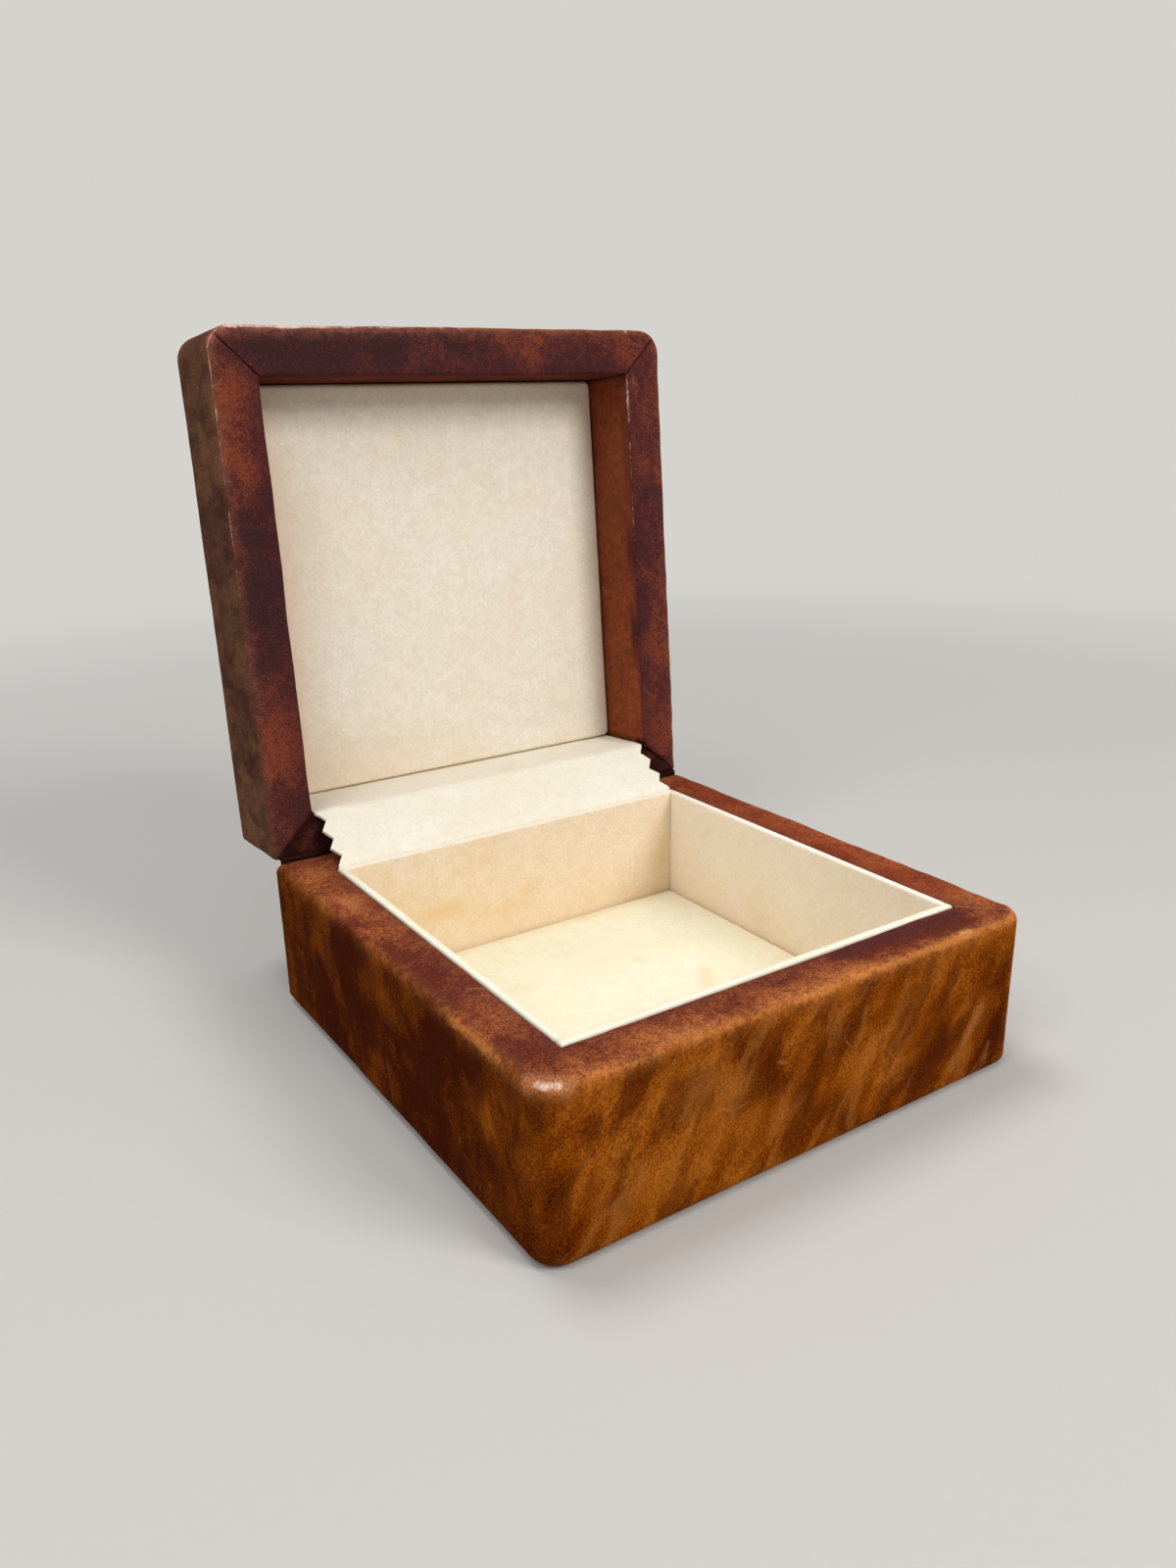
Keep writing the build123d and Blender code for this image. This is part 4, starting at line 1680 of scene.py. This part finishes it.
        # Painted shade and warm bounce light from the glow patches.
        shade_and_bounce = patch_tone(self.glow, points)
        paint(mesh, {"top_highlight": np.zeros(len(points)), "stain": stain, "shade_and_bounce": shade_and_bounce})


@dataclass
class Lining:
    """One suede-covered board that lines a wall of the well."""

    name: str
    back: tuple[float, float]
    along: tuple[float, float]
    length: float
    floor: float = 5.4
    top: float = 38.2
    board: float = 2.0
    card: float = 1.2
    edge: float = 0.7
    fit: float = 0.03
    seed: int = 40
    spots: tuple[Patch, ...] = ()
    through: bool = False
    highlight_reach: float = 0.7
    wave: float = 0.06
    edge_wave: float = 0.07

    def lost(self, away: np.ndarray) -> np.ndarray:
        """How far the rounded edge lies below the top, by the distance from the edge."""
        inside = np.clip(self.edge - away, 0, self.edge)
        return self.edge - np.sqrt(self.edge**2 - inside**2)

    def profile(self, from_end: float) -> np.ndarray:
        """One section, which hooks over the card's top edge.

        Args:
            from_end: How far the section lies from the board's end, where a lining that runs
                right through follows the roundings of the one that meets it.

        Returns:
            Its points: in from the wall, and up.
        """
        height = self.top - self.floor
        under = height - (self.board - self.card) + self.fit
        shares = 1 - np.cos(np.linspace(0, math.pi / 2, 7))
        depths = np.concatenate([self.board - self.edge * shares, (self.edge * shares)[::-1]])
        outer, beyond = depths, 0.0
        if self.through:
            outer, beyond = np.minimum(depths, from_end), max(self.board - from_end, 0.0)
        rises = height - self.lost(outer) - self.lost(np.hypot(beyond, self.board - depths))
        points = [(self.card + self.fit, 0.0)]
        points += [(self.board, z) for z in np.linspace(0, rises[0], 16)]
        points += list(zip(depths[1:], rises[1:]))
        points += [(0.0, under), (self.card + self.fit, under)]
        return np.array(points)

    def stations(self) -> np.ndarray:
        """Where the sections lie along the board, closer at its ends."""
        half = self.length / 2
        ends = half - np.array([0, 0.08, 0.25, 0.45, 0.7, 1.0, 1.3, 1.55, 1.75, 1.9, 2.0, 2.3])
        return np.unique(np.concatenate([-ends, np.linspace(3 - half, half - 3, 86), ends]))

    def build(self, material: bpy.types.Material) -> bpy.types.Object:
        """Build the lining.

        Args:
            material: The suede.

        Returns:
            The lining, on the base.
        """
        along = np.array([*self.along, 0.0])
        inward = np.array([-self.along[1], self.along[0], 0.0])
        origin = np.array([*self.back, self.floor])
        rows = []
        for x in self.stations():
            section = self.profile(self.length / 2 - abs(x))
            rows.append(origin + along * x + section[:, :1] * inward + section[:, 1:] * np.array([0, 0, 1.0]))
        mesh = Loft(rows, capped=True).mesh(self.name)
        points, normals = read(mesh)
        depth = (points - origin) @ inward
        free = ease(depth, 0.6 * self.board, self.board)
        points += normals * (free * self.wave * (ripple(points, 22, self.seed) - 1))[:, None]
        high = ease(points[:, 2], self.top - 2.5, self.top) * ease(depth, 0.2, 1.0)
        points += inward * (high * self.edge_wave * ripple(points, 11, self.seed + 1))[:, None]
        write(mesh, points)
        # Painted highlight along the lining's rounded top edge, reaching in from the wall.
        top_highlight = 0.55 * ease(points[:, 2], self.top - 0.7, self.top - 0.1)
        top_highlight *= ease(-depth, -self.highlight_reach - 0.8, -self.highlight_reach)
        # Yellower towards the floor, and at the listed spots.
        stain = 0.3 * np.exp(-(points[:, 2] - self.floor) / 9) + patch_tone(self.spots, points)
        paint(mesh, {"top_highlight": top_highlight, "stain": stain, "shade_and_bounce": np.zeros(len(points))})
        piece = put(self.name, mesh, material)
        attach(piece, Body.BASE.value)
        return piece


@dataclass
class Well:
    """The linings and the floor of the well."""

    case: Case
    fit: float = 0.1
    board: float = 2.0
    strip: float = 0.85
    floor_fit: float = 0.4
    floor: float = 5.4

    def build(self, wardrobe: Wardrobe) -> None:
        """Build the four linings and the floor.

        Args:
            wardrobe: The materials.
        """
        side = self.case.opening - self.fit
        rear = self.case.opening - self.strip - self.fit
        middle = (rear - side) / 2
        between = rear + side - 2 * (self.board + self.fit)
        boards = {
            "front": ((0.0, -side), (1.0, 0.0), 2 * side),
            "right": ((side, middle), (0.0, 1.0), between),
            "rear": ((0.0, rear), (-1.0, 0.0), 2 * side),
            "left": ((-side, middle), (0.0, -1.0), between),
        }
        # The rear and right linings take the shaded and the lit copies of the suede.
        suedes = {"right": wardrobe.right_lit_suede, "rear": wardrobe.rear_shaded_suede}
        # How far each lining's painted top highlight reaches: less on the front and left linings.
        highlight_reach = {"front": 0.15, "left": 0.4}
        for index, (name, (back, along, length)) in enumerate(boards.items()):
            lining = Lining(
                f"well_{name}_lining",
                back,
                along,
                length,
                seed=40 + 5 * index,
                spots=WALL_SPOTS if name == "rear" else (),
                through=name in ("front", "rear"),
                highlight_reach=highlight_reach.get(name, 1.6),
            )
            piece = lining.build(suedes.get(name, wardrobe.floor_suede))
            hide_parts(f"well_{name}_suede")
        half_x = side - self.board - self.floor_fit
        half_y = (rear + side) / 2 - self.board - self.floor_fit
        pad = Pad("well_floor_pad", half_x, half_y, card=1.2, padding=0.6, crown=0.5, spots=FLOOR_SPOTS)
        matrix = Matrix.Translation(Vector((0, middle, self.floor)) * MM)
        pad.build(wardrobe.floor_suede, matrix, Body.BASE, ("well_floor_suede", "well_floor_padding"))


@dataclass
class LidPanel:
    """The padded panel in the lid's recess."""

    case: Case
    half_x: float = 51.7
    rear: float = 10.65
    front: float = 115.2
    ceiling: float = 22.3

    def build(self, material: bpy.types.Material) -> None:
        """Build the panel on the lid.

        Args:
            material: The suede.
        """
        half_y = (self.front - self.rear) / 2
        pad = Pad(
            "lid_panel_pad", self.half_x, half_y, 1.5, 1.7, crown=0.6, edge=1.2, seed=60, glow=PANEL_SHADE_AND_BOUNCE
        )
        matrix = self.case.lid_matrix()
        middle = -(self.rear + self.front) / 2
        matrix.translation = Vector(self.case.lid_point(0, middle, self.ceiling)) * MM
        pad.build(material, matrix, Body.LID, ("lid_panel_suede", "lid_panel_padding"))


@dataclass
class SuedeStrip:
    """The pinked strip from behind the well's rear lining to the lid's recess."""

    case: Case
    half_width: float = 51.3
    thickness: float = 0.8
    base_y: float = 51.55
    tucked_z: float = 26.0
    turn_rise: float = 0.5
    lid_y: float = -9.95
    lid_turn: float = 1.0
    lid_end: float = 21.4
    hollow: float = 0.55
    pitch: float = 5.6
    tooth: float = 2.0
    step: float = 0.35
    smoothings: int = 6
    taper: float = 6.0
    long_wave: float = 0.22
    short_wave: float = 0.1

    def path(self) -> tuple[np.ndarray, float, float]:
        """The strip's middle line, seen from the side.

        Returns:
            Its points (Y and Z), and how far along it the free span starts and ends.
        """
        start = np.array([self.base_y, self.case.base_height + self.turn_rise])
        turn = np.array(self.case.lid_point(0, self.lid_y, self.lid_turn)[1:])
        end = np.array(self.case.lid_point(0, self.lid_y, self.lid_end)[1:])
        tucked = np.array([self.base_y, self.tucked_z])
        legs = ((tucked, start), (start, turn), (turn, end))
        points = [tucked]
        for index, (first, last) in enumerate(legs):
            length = np.linalg.norm(last - first)
            count = round(length / self.step)
            away = np.array([last[1] - first[1], first[0] - last[0]]) / length
            for share in np.linspace(0, 1, count + 1)[1:]:
                sag = self.hollow * math.sin(math.pi * share) if index == 1 else 0.0
                points.append(first + (last - first) * share + away * sag)
        line = np.array(points)
        for _ in range(self.smoothings):
            line[1:-1] = (line[:-2] + 2 * line[1:-1] + line[2:]) / 4
        along = self.lengths(line)
        first = along[np.argmin(np.linalg.norm(line - start, axis=1))]
        last = along[np.argmin(np.linalg.norm(line - turn, axis=1))]
        return line, first, last

    @staticmethod
    def lengths(line: np.ndarray) -> np.ndarray:
        """How far along the line each of its points lies."""
        gaps = np.linalg.norm(np.diff(line, axis=0), axis=1)
        return np.concatenate([[0], np.cumsum(gaps)])

    def reach(self, along: np.ndarray, first: float, last: float) -> np.ndarray:
        """How far the strip reaches to each side, notched along its free span.

        Args:
            along: The distances along the strip.
            first: Where the span starts.
            last: Where the span ends.

        Returns:
            Its half width at each distance.
        """
        middle = (first + last) / 2
        notches = int((last - first) / self.pitch) + 1
        reach = np.full(len(along), self.half_width)
        for index in range(notches):
            centre = middle + (index - (notches - 1) / 2) * self.pitch
            notch = 1 - np.abs(along - centre) / (self.pitch / 2)
            reach -= self.tooth * np.maximum(notch, 0)
        return reach

    def build(self, material: bpy.types.Material) -> None:
        """Build the strip in its shape with the lid open, curved between base and lid.

        Args:
            material: The suede.
        """
        line, first, last = self.path()
        along = self.lengths(line)
        reach = self.reach(along, first, last)
        tangent = np.gradient(line, axis=0)
        tangent /= np.linalg.norm(tangent, axis=1)[:, None]
        normal = np.column_stack([-tangent[:, 1], tangent[:, 0]])
        shares = np.linspace(-1, 1, 220)
        free = ease(along, first - 0.5, first + 3) * ease(-along, -last - 6, -last)
        faces = []
        for side in (1, -1):
            rows = []
            for index, (y, z) in enumerate(line):
                plain = shares * self.half_width
                over = np.clip((np.abs(plain) - (self.half_width - self.taper)) / self.taper, 0, 1)
                x = plain - np.sign(plain) * over * (self.half_width - reach[index])
                places = np.column_stack([x, np.full(len(x), along[index] * 1.6), np.zeros(len(x))])
                wave = self.long_wave * ripple(places, 16, 71) + self.short_wave * ripple(places, 6, 72)
                away = side * self.thickness / 2 + free[index] * wave
                out_y, out_z = normal[index]
                rows.append(np.column_stack([x, y + out_y * away, z + out_z * away]))
            faces.append(rows)
        front, back = faces
        rows = [np.vstack([a, b[::-1]]) for a, b in zip(front, back)]
        mesh = Loft(rows, capped=True).mesh("hinge_suede_strip_sheet")
        points, _ = read(mesh)
        paint(mesh, {name: np.zeros(len(points)) for name in ("top_highlight", "stain", "shade_and_bounce")})
        piece = put("hinge_suede_strip_sheet", mesh, material)
        turn = Vector(self.case.lid_point(0, self.lid_y, self.lid_turn)) * MM
        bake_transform(piece)
        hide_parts("hinge_suede_strip")


@dataclass
class HingeLeather:
    """The outer leather of the hinge, let into the rear of base and lid."""

    case: Case
    back: float = 0.88
    pivot: float = 0.06

    def build(self, material: bpy.types.Material) -> None:
        """Build the leather in its shape with the lid open, curved round the hinge between base and lid.

        Args:
            material: The leather.
        """
        case = self.case
        foot = case.base_height - case.leather_leg
        tip = case.lid_rim + case.leather_leg
        outer, inner = [], []
        for z in np.linspace(foot, case.hinge_z - self.back, 16):
            outer.append((case.half - 0.02, z))
            inner.append((case.half - self.back, z))
        lean = math.radians(case.open_angle)
        for share in np.linspace(0, 1, 11):
            angle = math.pi - share * lean
            way = np.array([math.cos(angle), math.sin(angle)])
            centre = np.array([case.half, case.hinge_z])
            outer.append(tuple(centre + self.pivot * way))
            inner.append(tuple(centre + self.back * way))
        for z in np.linspace(self.back, tip, 16):
            outer.append(case.lid_point(0, -0.02, z)[1:])
            inner.append(case.lid_point(0, -self.back, z)[1:])
        section = np.array(outer + inner[::-1])
        half = case.leather_half - 0.08
        rows = []
        for x in np.linspace(-half, half, 120):
            rows.append(np.column_stack([np.full(len(section), x), section]))
        mesh = Loft(rows, capped=True).mesh("outer_hinge_leather")
        points, _ = read(mesh)
        edge = 0.5 * np.exp(-(half - np.abs(points[:, 0])) / 1.2)
        fold = np.hypot(points[:, 1] - case.half, points[:, 2] - case.hinge_z)
        names = ("rim", "recess", "inner", "seam", "tone", "scuff_and_highlight", "crown")
        paint(mesh, {name: np.zeros(len(points)) for name in names})
        # Painted shade in the fold by the pivot, through the dark mask; the wear on the ends goes through the
        # edge mask.
        paint(mesh, {"edge": edge * ease(fold, 2, 6), "dark": 1 - ease(fold, 1, 4)})
        piece = put("outer_hinge_leather", mesh, material)
        end = np.array(case.lid_point(0, -1, 0)) * MM
        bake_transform(piece)
        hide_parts("hinge_leather")


@dataclass
class Underside:
    """The brushed paper under the base."""

    half: float = 60.5
    corner: float = 4.0
    thickness: float = 0.78
    soft: float = 0.25

    def build(self, material: bpy.types.Material) -> None:
        """Build the cover on the base.

        Args:
            material: The paper.
        """
        soft = self.soft
        rings = chain(
            Ring.middle(0),
            (
                Run(Ring.square(self.half - soft, self.corner - soft, 0), 20),
                Run(Ring.square(self.half, self.corner, soft), 4, Bend.LEVEL_FIRST),
                Run(Ring.square(self.half, self.corner, self.thickness)),
                Run(Ring.middle(self.thickness), 8),
            ),
        )
        spread = Spread.even(40, 8)
        mesh = Loft([spread.place(ring) for ring in rings], capped=True).mesh("underside_paper")
        piece = put("underside_paper", mesh, material)
        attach(piece, Body.BASE.value)
        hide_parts("base_underside_cover")


class Carcass:
    """The wood and card that the skins and linings hide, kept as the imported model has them."""

    @staticmethod
    def dress(wardrobe: Wardrobe) -> None:
        """Give the hidden pieces their materials.

        Args:
            wardrobe: The materials.
        """
        sides = ("front", "rear", "left", "right")
        finishes = {
            wardrobe.wood: [f"base_{side}_wall" for side in sides] + [f"lid_{side}_rail" for side in sides],
            wardrobe.plywood: ["base_bottom_board", "lid_top_board"],
            wardrobe.card: ["base_levelling_card", "well_floor_card", "lid_panel_card"]
            + [f"well_{side}_card" for side in sides],
        }
        for material, names in finishes.items():
            for name in names:
                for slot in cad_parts[name].material_slots:
                    slot.material = material
                log.info("dressed %s", name)


# Studio


@dataclass(frozen=True)
class Lamp:
    """One soft square lamp."""

    name: str
    place: tuple[float, float, float]
    size: float
    power: float
    colour: tuple[float, float, float] = (1.0, 1.0, 1.0)

    def build(self, target: Vector) -> None:
        """Hang the lamp and turn it to the target.

        Args:
            target: The place that it lights.
        """
        data = bpy.data.lights.new(self.name, "AREA")
        data.shape = "SQUARE"
        data.size = self.size
        data.energy = self.power
        data.color = self.colour
        lamp = stand(self.name, data)
        lamp.location = self.place
        lamp.rotation_euler = (target - Vector(self.place)).to_track_quat("-Z", "Y").to_euler()


@dataclass
class Studio:
    """The camera, the lamps, the pale floor and the pale surroundings."""

    eye: tuple[float, float, float] = (-150.30, -211.56, 148.28)
    azimuth: float = 33.360
    pitch: float = 18.124
    roll: float = -1.050
    lens: float = 27.353
    pale: Colour = srgb(213, 211, 206)
    ambient: float = 0.28

    def camera(self) -> None:
        """Place the camera at the photograph's viewing angle."""
        turn, dip, lean = (math.radians(v) for v in (self.azimuth, self.pitch, self.roll))
        ahead = Vector((math.sin(turn) * math.cos(dip), math.cos(turn) * math.cos(dip), -math.sin(dip)))
        level = Vector((math.cos(turn), -math.sin(turn), 0))
        upright = level.cross(ahead)
        right = math.cos(lean) * level + math.sin(lean) * upright
        up = -math.sin(lean) * level + math.cos(lean) * upright
        data = bpy.data.cameras.new("camera")
        data.lens = self.lens
        data.sensor_width = 36
        data.clip_start = 0.01
        data.clip_end = 50
        camera = stand("camera", data)
        camera.matrix_world = Matrix.Translation(Vector(self.eye) * MM) @ Matrix(
            (right, up, -ahead)
        ).transposed().to_4x4()
        bpy.context.scene.camera = camera

    def lamps(self) -> None:
        """Hang the lamps."""
        target = Vector((0, 0, 0.06))
        for lamp in (
            Lamp("key", (0.42, -0.95, 0.8), 0.5, 8.9, (1.0, 0.985, 0.96)),
            Lamp("fill", (-0.7, -0.35, 0.95), 0.6, 4.5, (0.97, 0.98, 1.0)),
            Lamp("top", (-0.1, 0.3, 1.1), 0.4, 4.6),
        ):
            lamp.build(target)

    @staticmethod
    def _seen(recipe: Recipe) -> bpy.types.NodeSocket:
        """Whether a ray is one that shows the surroundings: seen, mirrored or passed through."""
        rays = recipe.add("ShaderNodeLightPath").outputs
        shown = recipe.math("MAXIMUM", rays["Is Camera Ray"], rays["Is Glossy Ray"])
        return recipe.math("MAXIMUM", shown, rays["Is Transmission Ray"])

    def world(self) -> None:
        """Give the surroundings an even light and a pale colour."""
        world = bpy.data.worlds.new("studio")
        world.use_nodes = True
        bpy.context.scene.world = world
        recipe = Recipe(world.node_tree)
        lit = recipe.add("ShaderNodeBackground", {"Color": (0.96, 0.98, 1.0, 1), "Strength": self.ambient})
        seen = recipe.add("ShaderNodeBackground", {"Color": self.pale, "Strength": 1.0})
        mix = recipe.add(
            "ShaderNodeMixShader", {0: self._seen(recipe), 1: lit.outputs[0], 2: seen.outputs[0]}
        )
        recipe.add("ShaderNodeOutputWorld", {"Surface": mix.outputs[0]})

    def floor(self) -> None:
        """Lay the floor, which fades into the surroundings."""
        material, recipe = blank("studio_floor")
        place = recipe.place()
        speck = recipe.noise(place, 400.0, 2.0)
        colour = recipe.blend(recipe.math("MULTIPLY", speck, 0.1), srgb(201, 198, 193), srgb(184, 181, 176))
        shader = recipe.add(
            "ShaderNodeBsdfPrincipled",
            {"Base Color": colour, "Roughness": 0.9, "Specular IOR Level": 0.15},
        )
        glow = recipe.add("ShaderNodeEmission", {"Color": self.pale, "Strength": 1.0})
        away = recipe.vector("LENGTH", place)
        fade = recipe.math("MULTIPLY", recipe.rise(away, 0.22, 0.8), self._seen(recipe))
        mix = recipe.add("ShaderNodeMixShader", {0: fade, 1: shader.outputs[0], 2: glow.outputs[0]})
        recipe.add("ShaderNodeOutputMaterial", {"Surface": mix.outputs[0]})
        mesh = bpy.data.meshes.new("studio_floor")
        work = bmesh.new()
        bmesh.ops.create_circle(work, cap_ends=True, radius=9.0, segments=96)
        work.to_mesh(mesh)
        work.free()
        mesh.materials.append(material)
        floor = stand("studio_floor", mesh)

    def build(self) -> None:
        """Set up everything round the box."""
        bpy.context.scene.view_settings.view_transform = "Standard"
        self.camera()
        self.lamps()
        self.world()
        self.floor()


# Where the tone is lighter or darker, in each half's own frame.
BASE_PATCHES = (
    # The whole left side is darker: partly the leather's own dye, partly painted shade.
    Patch((-63, 0, -20), (6, 90, 40), -0.42),
    Patch((-63, -52, -26), (6, 12, 16), -0.1),
    Patch((-63, 3, -11), (5, 12, 6), 0.24),
    Patch((-63, -42, -15), (5, 9, 6), 0.3),
    Patch((-63, 42, -24), (5, 12, 10), -0.1),
    Patch((-46, -63, -19), (17, 6, 15), 0.22),
    Patch((-40, -63, -19), (5, 6, 5), -0.16),
    Patch((-40, -63, -4), (7, 6, 3), -0.2),
    Patch((-51, -63, -26), (7, 6, 5), 0.1),
    Patch((5, -63, -8), (7, 6, 6), 0.14),
    Patch((20, -63, -16), (10, 6, 10), 0.16),
    Patch((8, -63, -27), (5, 6, 4), 0.1),
    Patch((37, -63, -22), (8, 6, 11), -0.2),
    Patch((46, -63, -20), (5, 6, 9), 0.14),
    Patch((56, -63, -28), (3, 6, 6), -0.14),
    Patch((52, -63, -9), (5, 6, 5), -0.16),
    Patch((62, -60, -16), (4, 6, 16), 0.2),
    Patch((10, -56, 0), (50, 5, 2), -0.16),
    Patch((38, -57, 0), (18, 6, 2), -0.38),
    Patch((-58, 30, 0), (7, 24, 2), 0.2),
    Patch((-58, -14, 0), (7, 16, 2), -0.2),
    Patch((-6, -62, 0), (48, 3, 2), 0.12),
)
BASE_MARKS = (
    Mark((-52.4, -63.4, -12.6), (-51.8, -63.4, -11.6), 0.9, srgb(70, 24, 10), 0.7),
    Mark((-53.4, -63.4, -15.8), (-53.0, -63.4, -15.2), 0.8, srgb(70, 24, 10), 0.7),
    Mark((-33, -63.4, -16), (-29, -63.4, -7), 2.0, srgb(160, 100, 48), 0.4),
    Mark((41.5, -63.4, -32), (49.5, -63.4, -20), 2.6, srgb(166, 108, 54), 0.5),
    Mark((52.8, -63.4, -33), (53.6, -63.4, -30), 1.2, srgb(160, 104, 56), 0.35),
    Mark((34, -63.4, -33), (38, -63.4, -22), 3.0, srgb(72, 28, 8), 0.35),
    Mark((55.4, -63.4, -33), (57.4, -63.4, -23), 2.0, srgb(66, 26, 8), 0.4),
    Mark((22, -63.4, -15), (25.5, -63.4, -6), 2.0, srgb(158, 100, 48), 0.3),
    Mark((-8, -63.4, -30), (-4.5, -63.4, -20), 2.0, srgb(80, 34, 10), 0.3),
    Mark((-63.4, -1.2, -37), (-63.4, 0.6, -26), 1.6, srgb(134, 76, 38), 0.4),
    Mark((-55.5, -23.3, 0), (-53.2, -24.4, 0), 0.26, srgb(206, 156, 124), 0.4),
    Mark((-53.2, -24.4, 0), (-51.9, -26.4, 0), 0.26, srgb(206, 156, 124), 0.4),
    # Painted highlight on the near corner's rounded top edge: an orange halo and a whitish core.
    Mark((-62.2, -58, -0.8), (-58, -62.2, -0.8), 3.4, srgb(214, 146, 98), 0.5),
    Mark((-61.6, -59.6, -0.7), (-60.9, -60.9, -0.7), 1.0, srgb(244, 216, 202), 0.8),
    Mark((-60.9, -60.9, -0.7), (-58.9, -62, -0.7), 1.1, srgb(244, 216, 202), 0.85),
    Mark((57.5, -44, 0), (57.5, 52, 0), 9.0, srgb(138, 54, 32), 0.55),
    Mark((14, -54.6, 0), (50, -54.6, 0), 4.5, srgb(74, 40, 42), 0.6),
    Mark((42.5, -62.3, -0.3), (44.5, -62.4, -0.3), 1.6, srgb(226, 160, 104), 0.6),
)
WALL_SPOTS = (
    Patch((-26, 50, 20), (9, 6, 3), 0.55),
    Patch((-8, 50, 16), (10, 6, 3), 0.3),
    Patch((-38, 50, 26), (8, 6, 3), 0.25),
)
FLOOR_SPOTS = (
    Patch((-6, -22, 2), (2.2, 1.6, 6), 0.5),
    Patch((-1, -8, 2), (1.6, 1.6, 6), 0.3),
    Patch((14, 16, 2), (1.4, 2, 6), 0.3),
    Patch((-18, 20, 2), (5, 3, 6), 0.15),
)
# Painted shade and warm bounce light on the lid's panel: a peach band beside the left recess wall, and one
# along its lower left.
PANEL_SHADE_AND_BOUNCE = (
    Patch((-51, -6, 4), (8.5, 66, 20), 0.6),
    Patch((-30, -48, 4), (26, 9, 20), 0.35),
)
LID_PATCHES = (
    Patch((-58, 42, 0), (8, 20, 3), 0.24),
    Patch((-58, 6, 0), (8, 24, 3), -0.36),
    Patch((-58, -36, 0), (8, 18, 3), 0.16),
    Patch((-36, 58, 0), (36, 8, 3), -0.34),
    Patch((20, 58, 0), (10, 6, 3), 0.14),
    Patch((58, 38, 0), (8, 16, 3), 0.2),
    Patch((58, 8, 0), (8, 14, 3), -0.12),
    Patch((58, -30, 0), (8, 24, 3), 0.12),
)


def main() -> None:
    """Build the studio and the box, piece by piece."""
    logging.basicConfig(level=logging.INFO, format="%(name)s: %(message)s")
    Studio().build()
    wardrobe = Wardrobe()
    case = Case()
    Carcass.dress(wardrobe)
    BaseWrap(case, seed=3, patches=BASE_PATCHES).build(wardrobe.base_leather)
    LidWrap(case, seed=9, patches=LID_PATCHES).build(wardrobe.lid_leather)
    Well(case).build(wardrobe)
    LidPanel(case).build(wardrobe.panel_suede)
    SuedeStrip(case).build(wardrobe.strip_suede)
    HingeLeather(case).build(wardrobe.hinge_leather)
    Underside().build(wardrobe.cover)


if __name__ == "__main__":
    main()
